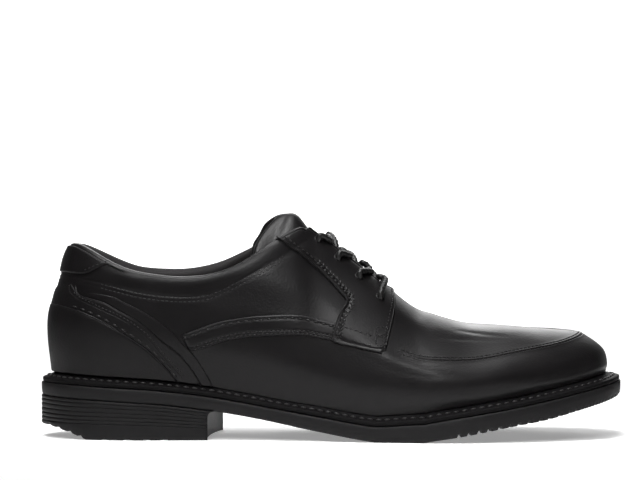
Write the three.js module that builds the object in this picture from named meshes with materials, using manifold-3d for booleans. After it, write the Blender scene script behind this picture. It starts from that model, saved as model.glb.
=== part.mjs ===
// Apron toe derby, right shoe, in millimetres.
// X runs from the heel to the toe, Y from the outer (lateral) side to the inner (medial) side, Z up.

import * as THREE from 'three';
import { mergeVertices } from 'three/addons/utils/BufferGeometryUtils.js';
import Module from 'manifold-3d';

const wasm = await Module();
wasm.setup();

// Driving sizes
const LENGTH = 306; // outsole, heel back to toe tip
const BALL_WIDTH = 102; // outsole across the ball
const HEEL_WIDTH = 68; // outsole across the heel seat
const INSTEP_HEIGHT = 110; // top of the lacing above the ground
const TOE_HEIGHT = 56; // top of the vamp over the toes
const HEEL_HEIGHT = 22; // heel block at the back
const TOE_SPRING = 22.4; // underside of the toe tip above the ground
const SOLE_STACK = 13; // outsole and welt together, under the feather line
const TOE_SWING = 4.5; // how far the toe bends to the inner side
const WALL = 2.4; // upper leather and its lining
const COLLAR_PAD = 2.6; // extra thickness of the padded collar
const OVERLAY = 1.3; // thickness of an overlay of leather
const SEAM_RISE = 1.3; // raised apron seam above the leather
const GAP = 0.3; // clearance between pieces that lie on each other
const WELT_DROP = 5.4; // welt underside below the feather line
const WELT_EDGE = 2.3; // thickness of the welt's outer edge
const WELT_SEAT = 4.5; // strip of the welt that lies under the upper
const INSOLE_THICKNESS = 3;
const TONGUE_THICKNESS = 3.2;
const THROAT_WIDTH = 22; // between the two rows of facings
const EYELET_BORE = 3.4;
const LACE_THICKNESS = 2.6;
const HEEL_RIBS = [0.41, 0.51, 0.61, 0.73, 0.83, 0.935]; // grooves, in shares of the heel block's height
const RIB_DEPTH = 0.8;
const LUG_PITCH = 5.3; // notches along the edge of the tread
const LUG_GAP = 1.6; // width of a notch
const LUG_DEPTH = 1.6;
const LUG_REACH = 8; // length of a notch, inwards from the edge
const BACK_BEVEL = 7.4; // rise of the heel's underside at its back

// Stations of the plan: half widths as shares of the local width, from the axis of the shoe
const PLAN = [
  { at: 0.03, lateral: 0.294, medial: 0.294 },
  { at: 0.08, lateral: 0.437, medial: 0.437 },
  { at: 0.15, lateral: 0.5, medial: 0.493 },
  { at: 0.22, lateral: 0.5, medial: 0.485 },
  { at: 0.3, lateral: 0.485, medial: 0.463 },
  { at: 0.4, lateral: 0.469, medial: 0.404 },
  { at: 0.5, lateral: 0.461, medial: 0.378 },
  { at: 0.6, lateral: 0.49, medial: 0.422 },
  { at: 0.68, lateral: 0.53, medial: 0.474 },
  { at: 0.75, lateral: 0.531, medial: 0.478 },
  { at: 0.82, lateral: 0.492, medial: 0.449 },
  { at: 0.9, lateral: 0.416, medial: 0.386 },
  { at: 0.95, lateral: 0.33, medial: 0.304 },
  { at: 0.98, lateral: 0.226, medial: 0.208 },
];

// How far the feather line lies inside the edge of the outsole, in shares of the welt's reach
const WELT_REACH = 6;
const FEATHER_INSET = [
  { at: 0, reach: 1.23 },
  { at: 0.15, reach: 1 },
  { at: 0.45, reach: 0.8 },
  { at: 0.85, reach: 1.08 },
  { at: 1, reach: 1.3 },
];

// Underside of the sole plate, and the stack above it, along the length
const SOLE_LINE = [
  { at: 0, rise: 1, stack: 0.96 },
  { at: 0.131, rise: 0.895, stack: 0.97 },
  { at: 0.209, rise: 0.827, stack: 0.97 },
  { at: 0.292, rise: 0.69, stack: 0.97 },
  { at: 0.346, rise: 0.573, stack: 0.955 },
  { at: 0.388, rise: 0.468, stack: 0.955 },
  { at: 0.48, rise: 0.214, stack: 1.015 },
  { at: 0.58, rise: -0.012, stack: 1.046 },
  { at: 0.64, rise: -0.02, stack: 1.14 },
  { at: 0.67, rise: 0.045, stack: 1.16 },
  { at: 0.718, rise: 0.147, stack: 1.177 },
  { at: 0.8, rise: 0.357, stack: 1.13 },
  { at: 0.857, rise: 0.49, stack: 1.16 },
  { at: 0.916, rise: 0.692, stack: 1.1 },
  { at: 0.98, rise: 0.915, stack: 1.046 },
  { at: 1, rise: 1, stack: 1 },
];

// Ridge of the last over the foot, closed over the ankle where the collar is cut away
const RIDGE = [
  { at: 0.114, height: 1.1 },
  { at: 0.196, height: 1.16 },
  { at: 0.294, height: 1.19 },
  { at: 0.36, height: 1.19 },
  { at: 0.408, height: 1.163 },
  { at: 0.441, height: 1.106 },
  { at: 0.474, height: 1.024 },
  { at: 0.507, height: 0.93 },
  { at: 0.549, height: 0.826 },
  { at: 0.597, height: 0.763 },
  { at: 0.641, height: 0.784 },
  { at: 0.684, height: 0.903 },
  { at: 0.727, height: 1.026 },
  { at: 0.784, height: 1.039 },
  { at: 0.841, height: 1.016 },
  { at: 0.898, height: 1.002 },
  { at: 0.974, height: 0.993 },
];

// Cross sections: out is the share of the feather's half width, up the share of the way to the ridge
const SECTIONS = [
  { at: 0, lowOut: 1.08, lowUp: 0.27, highOut: 0.985, highUp: 0.45,
    seamOut: 0.83, seamUp: 0.63, crownOut: 0.6, crownUp: 0.8 },
  { at: 0.06, lowOut: 1.085, lowUp: 0.26, highOut: 1.02, highUp: 0.45,
    seamOut: 0.89, seamUp: 0.64, crownOut: 0.62, crownUp: 0.84 },
  { at: 0.2, lowOut: 1.1, lowUp: 0.24, highOut: 1.06, highUp: 0.45,
    seamOut: 0.97, seamUp: 0.63, crownOut: 0.64, crownUp: 0.86 },
  { at: 0.35, lowOut: 1.13, lowUp: 0.21, highOut: 1.1, highUp: 0.43,
    seamOut: 0.95, seamUp: 0.64, crownOut: 0.56, crownUp: 0.86 },
  { at: 0.47, lowOut: 1.08, lowUp: 0.19, highOut: 1.0, highUp: 0.41,
    seamOut: 0.78, seamUp: 0.66, crownOut: 0.4, crownUp: 0.9 },
  { at: 0.6, lowOut: 1.07, lowUp: 0.17, highOut: 1.06, highUp: 0.35,
    seamOut: 0.95, seamUp: 0.535, crownOut: 0.5, crownUp: 0.87 },
  { at: 0.75, lowOut: 1.05, lowUp: 0.14, highOut: 1.03, highUp: 0.35,
    seamOut: 0.86, seamUp: 0.567, crownOut: 0.45, crownUp: 0.88 },
  { at: 0.88, lowOut: 1.03, lowUp: 0.17, highOut: 0.99, highUp: 0.43,
    seamOut: 0.8, seamUp: 0.7, crownOut: 0.42, crownUp: 0.94 },
  { at: 1, lowOut: 1.02, lowUp: 0.24, highOut: 0.935, highUp: 0.59,
    seamOut: 0.61, seamUp: 0.92, crownOut: 0.3, crownUp: 0.985 },
];

// Small helpers for curves
const mix = (a, b, k) => a + (b - a) * k;
const clamp = (value, low, high) => Math.min(high, Math.max(low, value));
const smooth = (from, to, value) => {
  const k = clamp((value - from) / (to - from), 0, 1);
  return k * k * (3 - 2 * k);
};

function curveThrough(knots, values) {
  const last = knots.length - 1;
  const slope = (i) => {
    const a = Math.max(0, i - 1);
    const b = Math.min(last, i + 1);
    return (values[b] - values[a]) / (knots[b] - knots[a]);
  };
  return (x) => {
    const at = clamp(x, knots[0], knots[last]);
    let i = 0;
    while (i < last - 1 && at > knots[i + 1]) i += 1;
    const width = knots[i + 1] - knots[i];
    const k = (at - knots[i]) / width;
    const k2 = k * k;
    const k3 = k2 * k;
    return (2 * k3 - 3 * k2 + 1) * values[i] + (k3 - 2 * k2 + k) * width * slope(i)
      + (3 * k2 - 2 * k3) * values[i + 1] + (k3 - k2) * width * slope(i + 1);
  };
}

const column = (rows, name) => curveThrough(rows.map((row) => row.at), rows.map((row) => row[name]));

// Turn: 0 at the heel back, 1 at the toe tip; below zero runs round the lateral side
const shareAt = (turn) => (1 - Math.cos(Math.PI * turn)) / 2;
const turnAt = (share) => Math.acos(1 - 2 * clamp(share, 0, 1)) / Math.PI;

function aroundTheShoe(rows, lateral, medial, sign) {
  const back = rows.map((row) => [-turnAt(row.at), sign * row[lateral]]);
  const front = rows.map((row) => [turnAt(row.at), row[medial]]);
  const loop = [...back, ...front].sort((a, b) => a[0] - b[0]);
  const closed = [
    ...loop.filter((p) => p[0] > 0.5).map((p) => [p[0] - 2, p[1]]),
    ...loop,
    ...loop.filter((p) => p[0] < -0.5).map((p) => [p[0] + 2, p[1]]),
  ].filter((p, i, all) => i === 0 || p[0] - all[i - 1][0] > 1e-6);
  return curveThrough(closed.map((p) => p[0]), closed.map((p) => p[1]));
}

const halfWidth = aroundTheShoe(PLAN, 'lateral', 'medial', -1);
const section = {};
for (const name of Object.keys(SECTIONS[0]).filter((key) => key !== 'at')) {
  section[name] = aroundTheShoe(SECTIONS, name, name, 1);
}
const localWidth = (share) => mix(HEEL_WIDTH, BALL_WIDTH, smooth(0.3, 0.6, share));
const swing = (share) => TOE_SWING * smooth(0.5, 1, share);
const inset = column(FEATHER_INSET, 'reach');
const soleRise = column(SOLE_LINE, 'rise');
const soleStack = column(SOLE_LINE, 'stack');
const ridgeShare = column(RIDGE, 'height');

const liftOfSole = (share) => mix(HEEL_HEIGHT, TOE_SPRING, smooth(0.5, 0.65, share));
const soleBottom = (x) => Math.max(0, soleRise(x / LENGTH) * liftOfSole(x / LENGTH));
const feather = (x) => soleBottom(x) + soleStack(x / LENGTH) * SOLE_STACK;
const heightOfLast = (share) => mix(INSTEP_HEIGHT, TOE_HEIGHT, smooth(0.55, 0.75, share));
const ridge = (x) => ridgeShare(x / LENGTH) * heightOfLast(x / LENGTH);
const featherInset = (turn) => WELT_REACH * inset(shareAt(turn));

const wrap = (turn) => (turn > 1 ? turn - 2 : turn < -1 ? turn + 2 : turn);

// Plan outline of the outsole at a turn, moved inwards by a distance
function outline(turn, inwards = 0) {
  const place = (a) => {
    const share = shareAt(a);
    return new THREE.Vector2(LENGTH * share, swing(share) + localWidth(share) * halfWidth(a));
  };
  const step = 1e-3;
  const here = place(turn);
  const along = place(wrap(turn + step)).sub(place(wrap(turn - step))).normalize();
  return new THREE.Vector2(here.x + along.y * inwards, here.y - along.x * inwards);
}

// Spine of the last, where the sections meet over the foot
const SPINE_BACK = 0.114 * LENGTH;
const SPINE_FRONT = 0.863 * LENGTH;
const LEVELS = [0, 0.2, 0.4, 0.6, 0.8, 1];
const SEAM_LEVEL = 0.6;

// Share of the half width and of the height at a level, with a knot past each end for the slope there
function profile(turn, level) {
  const rows = ['low', 'high', 'seam', 'crown'];
  const outs = [1, ...rows.map((row) => section[`${row}Out`](turn)), 0];
  const ups = [0, ...rows.map((row) => section[`${row}Up`](turn)), 1];
  outs.unshift(2 - outs[1]);
  ups.unshift(-ups[1]);
  outs.push(-outs[5]);
  ups.push(ups[5]);
  const knots = [-LEVELS[1], ...LEVELS, 2 - LEVELS[4]];
  return [curveThrough(knots, outs)(level), curveThrough(knots, ups)(level)];
}

// Outer surface of the upper: turn round the shoe, level from the feather (0) to the ridge (1)
function skin(turn, level) {
  const share = shareAt(turn);
  const foot = outline(turn, featherInset(turn));
  const spineX = mix(SPINE_BACK, SPINE_FRONT, share);
  const spineY = swing(spineX / LENGTH);
  const [out, up] = profile(turn, level);
  const x = mix(spineX, foot.x, out);
  const y = mix(spineY, foot.y, out);
  const low = feather(foot.x);
  return new THREE.Vector3(x, y, low + up * (ridge(x) - low));
}

function ridgeNormal(turn) {
  const x = skin(turn, 1).x;
  const slope = ridge(x + 0.5) - ridge(x - 0.5);
  return new THREE.Vector3(-slope, 0, 1).normalize();
}

// Point off the skin, along the direction out of the leather
function lifted(turn, level, lift) {
  if (level === 1) return skin(turn, 1).addScaledVector(ridgeNormal(turn), lift);
  const step = 2e-3;
  const low = Math.max(0, level - step);
  const high = Math.min(1, level + step);
  const along = skin(wrap(turn + step), level).sub(skin(wrap(turn - step), level));
  const upward = skin(turn, high).sub(skin(turn, low));
  const out = upward.cross(along).normalize();
  return skin(turn, level).addScaledVector(out, lift);
}

// Turns of the stations, closer where the outline bends
const STATIONS = 25;
const turns = Array.from({ length: 2 * STATIONS }, (_, i) => -1 + (i + 1) / STATIONS);

// Closed mesh from rings of points; a ring is closed, and both ends are capped side to side
function ringMesh(rings, { endless = false } = {}) {
  const count = rings[0].length;
  const half = count / 2;
  const positions = rings.flat().flatMap((p) => [p.x, p.y, p.z]);
  const index = [];
  const last = endless ? rings.length : rings.length - 1;
  for (let r = 0; r < last; r += 1) {
    const next = (r + 1) % rings.length;
    for (let i = 0; i < count; i += 1) {
      const j = (i + 1) % count;
      const [a, b, c, d] = [r * count + i, r * count + j, next * count + j, next * count + i];
      index.push(a, b, c, a, c, d);
    }
  }
  const cap = (row, flip) => {
    const at = (i) => row * count + ((i + count) % count);
    const heel = half - 1;
    for (let k = 0; k < half; k += 1) {
      const quad = [at(heel - k), at(heel + k), at(heel + k + 1), at(heel - k - 1)];
      for (const [a, b, c] of [[0, 1, 2], [0, 2, 3]]) {
        const tri = [quad[a], quad[b], quad[c]];
        if (new Set(tri).size === 3) index.push(...(flip ? tri.reverse() : tri));
      }
    }
  };
  if (!endless) {
    cap(0, true);
    cap(rings.length - 1, false);
  }
  const geometry = new THREE.BufferGeometry();
  geometry.setAttribute('position', new THREE.Float32BufferAttribute(positions, 3));
  geometry.setIndex(index);
  return geometry;
}

function solid(geometry) {
  const bare = new THREE.BufferGeometry();
  bare.setAttribute('position', geometry.getAttribute('position'));
  if (geometry.getIndex()) bare.setIndex(geometry.getIndex());
  const merged = mergeVertices(bare, 1e-4);
  const points = merged.getAttribute('position').array;
  const index = merged.getIndex().array;
  const triangles = [];
  for (let i = 0; i < index.length; i += 3) {
    const [a, b, c] = [index[i], index[i + 1], index[i + 2]];
    if (a !== b && b !== c && a !== c) triangles.push(a, b, c);
  }
  const mesh = (list) => new wasm.Mesh({
    numProp: 3,
    vertProperties: new Float32Array(points),
    triVerts: new Uint32Array(list),
  });
  const made = new wasm.Manifold(mesh(triangles));
  if (made.volume() > 0) return made;
  const turned = [];
  for (let i = 0; i < triangles.length; i += 3) {
    turned.push(triangles[i], triangles[i + 2], triangles[i + 1]);
  }
  return new wasm.Manifold(mesh(turned));
}

// Closed form like the last from a place at each turn and level; its foot may be drawn down
function lastForm(placeAt, drop, levels) {
  const rings = levels.map((level) => turns.map((turn) => placeAt(turn, level)));
  const foot = rings[0].map((p) => new THREE.Vector3(p.x, p.y, p.z - drop));
  return solid(ringMesh([foot, ...rings]));
}

const OPEN_FOOT = 12; // an inner form runs on below the feather line, so that the shell stays open there

// Prism from a side outline of (x, z) points, between two values of y
function sidePrism(points, fromY, toY) {
  const shape = new THREE.Shape(points.map(([x, z]) => new THREE.Vector2(x, z)));
  const geometry = new THREE.ExtrudeGeometry(shape, { depth: toY - fromY, bevelEnabled: false, steps: 1 });
  geometry.rotateX(Math.PI / 2);
  geometry.translate(0, toY, 0);
  return solid(geometry);
}

// Prism from a plan outline of (x, y) points, between two heights
function planPrism(points, fromZ, toZ) {
  const shape = new THREE.Shape(points.map(([x, y]) => new THREE.Vector2(x, y)));
  const geometry = new THREE.ExtrudeGeometry(shape, { depth: toZ - fromZ, bevelEnabled: false, steps: 1 });
  geometry.translate(0, 0, fromZ);
  return solid(geometry);
}

// Points of a smooth line through a few rows of (along, up) shares
function smoothLine(rows, steps = 3) {
  const places = rows.map(([along, up]) => new THREE.Vector3(along * LENGTH, 0, up * INSTEP_HEIGHT));
  const line = new THREE.CatmullRomCurve3(places, false, 'centripetal');
  return line.getPoints((rows.length - 1) * steps).map((p) => [p.x, p.z]);
}

// Collar edge seen from the side
const COLLAR = [
  { at: -0.03, lateral: 0.945, medial: 0.945 },
  { at: 0.06, lateral: 0.926, medial: 0.926 },
  { at: 0.0755, lateral: 0.912, medial: 0.914 },
  { at: 0.128, lateral: 0.836, medial: 0.846 },
  { at: 0.162, lateral: 0.799, medial: 0.812 },
  { at: 0.207, lateral: 0.775, medial: 0.799 },
  { at: 0.249, lateral: 0.767, medial: 0.801 },
  { at: 0.298, lateral: 0.782, medial: 0.829 },
  { at: 0.343, lateral: 0.828, medial: 0.88 },
  { at: 0.379, lateral: 0.893, medial: 0.935 },
  { at: 0.405, lateral: 0.942, medial: 1.005 },
  { at: 0.43, lateral: 0.983, medial: 1.052 },
  { at: 0.448, lateral: 1.003, medial: 1.062 },
  { at: 0.458, lateral: 1.007, medial: 1.062 },
];

const FAR = 90; // beyond the widest part of the shoe
const SKY = 1.4; // above the highest part, in shares of the instep height

const COLLAR_SLANT = 0.03; // the opening leans forward above the top eyelets

function aboveCollar(side) {
  const edge = smoothLine(COLLAR.map((row) => [row.at, row[side]]));
  const last = COLLAR[COLLAR.length - 1];
  const sky = SKY * INSTEP_HEIGHT;
  const points = [...edge, [(last.at + COLLAR_SLANT) * LENGTH, sky], [COLLAR[0].at * LENGTH, sky]];
  return side === 'lateral' ? sidePrism(points, -FAR, 0) : sidePrism(points, 0, FAR);
}

// Throat between the facings, seen from above
const THROAT_BACK = 0.36 * LENGTH;
const THROAT_FRONT = 0.602 * LENGTH;

const THROAT_BEND = 7; // length of the rounded front of the throat
const THROAT_FLARE = 2; // widening at the ankle, on each side
const THROAT_TAPER = 3.5; // narrowing at the front, on each side

function throatSlot() {
  const half = THROAT_WIDTH / 2;
  const points = [[THROAT_BACK, -half - THROAT_FLARE], [THROAT_BACK, half + THROAT_FLARE]];
  const bend = 5;
  for (let i = -bend; i <= bend; i += 1) {
    const angle = (Math.PI / 2) * (i / bend);
    const x = THROAT_FRONT - THROAT_BEND * (1 - Math.cos(angle));
    points.push([x, -(half - THROAT_TAPER) * Math.sin(angle)]);
  }
  return planPrism(points, TOE_HEIGHT * 0.75, SKY * INSTEP_HEIGHT);
}

// Levels of the upper's rings, with close rows at the apron seam
const SEAM_ROWS = [SEAM_LEVEL - 0.035, SEAM_LEVEL - 0.014, SEAM_LEVEL + 0.014, SEAM_LEVEL + 0.035];
const OUTER_LEVELS = [0, 0.1, 0.2, 0.3, 0.4, 0.49, ...SEAM_ROWS, 0.72, 0.81, 0.9, 1];
const OVERLAY_LEVELS = OUTER_LEVELS.filter((level) => Math.abs(level - SEAM_LEVEL) > 0.02);
const INNER_LEVELS = [0, 0.12, 0.25, 0.38, 0.5, 0.62, 0.75, 0.88, 1];
const APRON_BACK = 0.6; // share of the length where the seam starts

function apronRise(turn, level) {
  const near = Math.abs(level - SEAM_LEVEL) < 0.02 ? 1 : 0;
  return SEAM_RISE * near * smooth(APRON_BACK + 0.005, APRON_BACK + 0.035, shareAt(turn));
}

// Lower seam of the collar's padding
const PAD_SEAM = column([
  { at: 0, up: 0.79 },
  { at: 0.1, up: 0.74 },
  { at: 0.193, up: 0.682 },
  { at: 0.284, up: 0.677 },
  { at: 0.358, up: 0.765 },
  { at: 0.43, up: 0.882 },
], 'up');

function padDepth(turn, level) {
  const p = skin(turn, level);
  const share = p.x / LENGTH;
  const seam = PAD_SEAM(share) * INSTEP_HEIGHT;
  const soft = 6;
  return WALL + COLLAR_PAD * smooth(seam - soft, seam + soft, p.z) * (1 - smooth(0.29, 0.34, share));
}

// Place on the skin that the side view shows at (x, z), on the lateral (-1) or medial (1) side
function onSkin(x, z, side) {
  let turn = turnAt(x / LENGTH);
  let level = 0.5;
  for (let round = 0; round < 12; round += 1) {
    let low = 0;
    let high = 1;
    for (let i = 0; i < 18; i += 1) {
      level = (low + high) / 2;
      if (skin(side * turn, level).z < z) low = level;
      else high = level;
    }
    turn = clamp(turn + (x - skin(side * turn, level).x) / (LENGTH * 1.5), 0.001, 0.999);
  }
  return { turn: side * turn, level };
}

// Eyelets, from the top of the lacing to the throat, seen from the side
const EYELETS = [
  { at: 0.476, up: 0.931 },
  { at: 0.5095, up: 0.844 },
  { at: 0.545, up: 0.756 },
  { at: 0.58, up: 0.66 },
];

// Centre of an eyelet, lifted off the skin; beyond moves it towards the throat's edge, in levels
function eyelet(row, side, lift, beyond = 0) {
  const { turn, level } = onSkin(EYELETS[row].at * LENGTH, EYELETS[row].up * INSTEP_HEIGHT, side);
  return lifted(turn, level + beyond, lift);
}

function eyeletBores() {
  let bores = null;
  for (const side of [-1, 1]) {
    for (let row = 0; row < EYELETS.length; row += 1) {
      const inner = eyelet(row, side, -WALL - GAP / 2);
      const outer = eyelet(row, side, 2 * WALL);
      const length = inner.distanceTo(outer);
      const geometry = new THREE.CylinderGeometry(EYELET_BORE / 2, EYELET_BORE / 2, length, 8);
      const along = outer.clone().sub(inner).normalize();
      geometry.applyQuaternion(new THREE.Quaternion().setFromUnitVectors(new THREE.Vector3(0, 1, 0), along));
      geometry.translate(...inner.add(outer).multiplyScalar(0.5).toArray());
      const bore = solid(geometry);
      bores = bores ? bores.add(bore) : bore;
    }
  }
  return bores;
}

const openings = {
  lateral: aboveCollar('lateral'),
  medial: aboveCollar('medial'),
  throat: throatSlot(),
  eyelets: eyeletBores(),
};

const cutOpen = (body) => body.subtract(openings.lateral).subtract(openings.medial)
  .subtract(openings.throat).subtract(openings.eyelets);

function makeUpper() {
  const outer = lastForm((turn, level) => lifted(turn, level, apronRise(turn, level)), 0, OUTER_LEVELS);
  const lining = (turn, level) => lifted(turn, level, -padDepth(turn, level));
  const inner = lastForm(lining, OPEN_FOOT, INNER_LEVELS);
  return cutOpen(outer.subtract(inner));
}

// Leather shells for the overlays, from the skin outwards
const shells = new Map();

function shell(thickness) {
  if (!shells.has(thickness)) {
    const outer = lastForm((turn, level) => lifted(turn, level, GAP + thickness), 0, OVERLAY_LEVELS);
    const inner = lastForm((turn, level) => lifted(turn, level, GAP), OPEN_FOOT, OVERLAY_LEVELS);
    shells.set(thickness, cutOpen(outer.subtract(inner)));
  }
  return shells.get(thickness);
}

const inMillimetres = (rows) => rows.map(([at, up]) => [at * LENGTH, up * INSTEP_HEIGHT]);

// The same line one clearance further forward and up
const clearOf = (line, forward = GAP, up = GAP) => line.map(([x, z]) => [x + forward, z + up]);

// Room for the welt under the overlays that reach down to it
const OVER_WELT = 0.5;
const BESIDE_SOLE = 2;
const weltRoom = () => solid(ringMesh([
  soleRing(-BESIDE_SOLE, (x) => feather(x) - SOLE_STACK),
  soleRing(-BESIDE_SOLE, (x) => feather(x) + OVER_WELT),
]));

// Piece of a leather shell inside a side outline, on one side of the shoe or on both
function overlay(thickness, points, side) {
  const from = side === 'medial' ? 0 : -FAR;
  const to = side === 'lateral' ? 0 : FAR;
  return shell(thickness).intersect(sidePrism(points, from, to)).subtract(weltRoom());
}

// Edges of the overlays, as (along, up) shares of the length and the instep height
const COUNTER_EDGE = [
  [-0.03, 0.64], [0.038, 0.627], [0.062, 0.612], [0.079, 0.6], [0.117, 0.556],
  [0.163, 0.482], [0.193, 0.423], [0.223, 0.339], [0.238, 0.282], [0.25, 0.2],
];
const FOXING_EDGE = [
  [0.052, 0.79], [0.06, 0.725], [0.073, 0.678], [0.118, 0.64], [0.143, 0.603], [0.168, 0.566],
  [0.192, 0.517], [0.216, 0.459], [0.24, 0.41], [0.256, 0.36], [0.273, 0.293], [0.28, 0.248], [0.287, 0.19],
];
const BAND_EDGE = [
  [0.085, 0.69], [0.133, 0.669], [0.148, 0.648], [0.175, 0.612], [0.2, 0.571], [0.224, 0.524],
  [0.24, 0.482], [0.25, 0.45], [0.266, 0.405], [0.284, 0.333], [0.298, 0.261], [0.306, 0.19],
];
const TAB_EDGE = [[-0.03, 0.785], [0.04, 0.782], [0.084, 0.775], [0.106, 0.8], [0.125, 0.825], [0.15, 0.86]];
const STRAP_TOP = [
  [0.246, 0.491], [0.273, 0.518], [0.305, 0.549], [0.337, 0.567],
  [0.379, 0.581], [0.448, 0.584], [0.5, 0.551],
];
const STRAP_FOOT = [
  [0.497, 0.471], [0.449, 0.49], [0.379, 0.487], [0.345, 0.477],
  [0.313, 0.459], [0.289, 0.436], [0.266, 0.411],
];
const EYESTAY_BACK = [
  [0.582, 0.409], [0.546, 0.432], [0.5, 0.468], [0.505, 0.531], [0.513, 0.595], [0.5235, 0.644],
  [0.513, 0.686], [0.49, 0.757], [0.462, 0.83], [0.43, 0.895], [0.405, 0.942],
];
const EYESTAY_FRONT = [
  [0.44, 1.2], [0.5, 1.2], [0.598, 0.72], [0.606, 0.66], [0.604, 0.585], [0.596, 0.494], [0.59, 0.43],
];

function makeCounter() {
  const edge = smoothLine(COUNTER_EDGE, 2);
  return overlay(OVERLAY, [...edge, [edge[edge.length - 1][0], 0], [edge[0][0], 0]], 'both');
}

function makeFoxing() {
  const lower = clearOf(smoothLine(COUNTER_EDGE, 2)).reverse();
  const [start, ...upper] = smoothLine(FOXING_EDGE, 2);
  const top = TAB_EDGE[1][1] * INSTEP_HEIGHT - 1.5 * GAP;
  const heelEnd = [lower[lower.length - 1][0], top];
  return overlay(OVERLAY * 0.8, [heelEnd, [start[0], top], ...upper, ...lower], 'both');
}

function makeBand(side) {
  const lower = clearOf(smoothLine(FOXING_EDGE.slice(2), 2)).reverse();
  return overlay(OVERLAY * 0.55, [...smoothLine(BAND_EDGE, 2), ...lower], side);
}

function makeHeelTab() {
  const edge = smoothLine(TAB_EDGE, 2);
  const sky = SKY * INSTEP_HEIGHT;
  return overlay(OVERLAY * 0.7, [...edge, [edge[edge.length - 1][0], sky], [edge[0][0], sky]], 'both');
}

function makeStrap(side) {
  const back = clearOf(smoothLine(BAND_EDGE.slice(5, 9), 2), 1.6 * GAP, 0).reverse();
  return overlay(OVERLAY * 0.8, [...smoothLine(STRAP_FOOT, 2), ...back, ...smoothLine(STRAP_TOP, 2)], side);
}

function makeEyestay(side) {
  return overlay(OVERLAY, [...smoothLine(EYESTAY_BACK, 2), ...inMillimetres(EYESTAY_FRONT)], side);
}

// Laces: strands that run from an eyelet over the throat and under the other facing
function strand(points) {
  const path = new THREE.CatmullRomCurve3(points, false, 'centripetal');
  const round = new THREE.Shape();
  const sides = 6;
  for (let i = 0; i < sides; i += 1) {
    const angle = (2 * Math.PI * i) / sides;
    const x = (LACE_THICKNESS / 2) * Math.cos(angle);
    const y = (LACE_THICKNESS / 2) * Math.sin(angle);
    if (i === 0) round.moveTo(x, y);
    else round.lineTo(x, y);
  }
  return solid(new THREE.ExtrudeGeometry(round, { steps: 7, extrudePath: path, bevelEnabled: false }));
}

const LACE_SEAT = GAP + OVERLAY + LACE_THICKNESS / 2 + GAP; // lace centre over the eyestay

// Points of a strand over the throat: share of the way to the next eyelet, share of the throat's
// half width from the strand's own side, and rise over the ridge of the last
const CROSSING = [
  { along: 0.25, across: 0.68, rise: 2.6 },
  { along: 0.42, across: 0, rise: 2 },
  { along: 0.6, across: -0.62, rise: -1.4 },
];

function crossStrand(row, side) {
  const back = eyelet(row, side, 0).x;
  const front = eyelet(row + 1, side, 0).x;
  const over = CROSSING.map(({ along, across, rise }) => {
    const x = mix(back, front, along);
    return new THREE.Vector3(x, side * across * (THROAT_WIDTH / 2), ridge(x) + rise);
  });
  return strand([eyelet(row, side, LACE_SEAT), eyelet(row, side, LACE_SEAT + 0.8, 0.05), ...over]);
}

const makeLaceCross = (row) => crossStrand(row, -1).add(crossStrand(row, 1));

const BAR_REACH = 3; // how far the lowest strand stands in front of its eyelets
const BAR_RISE = 3.6;

function makeLaceBar() {
  const row = EYELETS.length - 1;
  const x = EYELETS[row].at * LENGTH + BAR_REACH;
  const half = THROAT_WIDTH / 3;
  return strand([
    eyelet(row, -1, LACE_SEAT),
    eyelet(row, -1, LACE_SEAT + 0.8, 0.05),
    new THREE.Vector3(x, -half, ridge(x) + BAR_RISE),
    new THREE.Vector3(x, half, ridge(x) + BAR_RISE),
    eyelet(row, 1, LACE_SEAT + 0.8, 0.05),
    eyelet(row, 1, LACE_SEAT),
  ]);
}

// Rings of the sole pieces: an inward distance and a height at each turn
const soleRing = (inwards, heightAt) => turns.map((turn) => {
  const p = outline(turn, typeof inwards === 'function' ? inwards(turn) : inwards);
  return new THREE.Vector3(p.x, p.y, heightAt(p.x));
});

const weltInner = (turn) => featherInset(turn) + WELT_SEAT;

// Notches cut into the edge of the tread on both sides, between two shares of the length
function treadNotches(from, to, pitch, floorAt) {
  let cuts = null;
  for (let x = from * LENGTH; x < to * LENGTH; x += pitch) {
    const top = floorAt(x + LUG_GAP / 2) + LUG_DEPTH;
    const slot = [[x, -1], [x + LUG_GAP, -1], [x + LUG_GAP, top], [x, top]];
    const edge = turnAt(x / LENGTH);
    const pair = sidePrism(slot, -FAR, outline(-edge).y + LUG_REACH)
      .add(sidePrism(slot, outline(edge).y - LUG_REACH, FAR));
    cuts = cuts ? cuts.add(pair) : pair;
  }
  return cuts;
}

const SOLE_CHAMFER = 2; // height over which the outsole's lower edge is rounded off

function makeOutsole() {
  const seat = (x) => feather(x) - WELT_DROP - GAP;
  const bed = (turn) => weltInner(turn) + GAP;
  const plate = solid(ringMesh([
    soleRing(SOLE_CHAMFER * 0.6, soleBottom),
    soleRing(SOLE_CHAMFER * 0.1, (x) => soleBottom(x) + SOLE_CHAMFER / 2),
    soleRing(0, (x) => soleBottom(x) + SOLE_CHAMFER),
    soleRing(0, seat),
    soleRing(bed, seat),
    soleRing(bed, feather),
  ]));
  return plate.subtract(treadNotches(0.722, 0.93, LUG_PITCH, soleBottom));
}

function makeWelt() {
  const lower = (x) => feather(x) - WELT_DROP;
  return solid(ringMesh([
    soleRing(weltInner, lower),
    soleRing(3 * GAP, lower),
    soleRing(2 * GAP, (x) => lower(x) + WELT_EDGE),
    soleRing((turn) => featherInset(turn) - 2 * GAP, (x) => feather(x) - 1.6 * GAP),
    soleRing(weltInner, (x) => feather(x) - GAP),
  ], { endless: true }));
}

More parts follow.
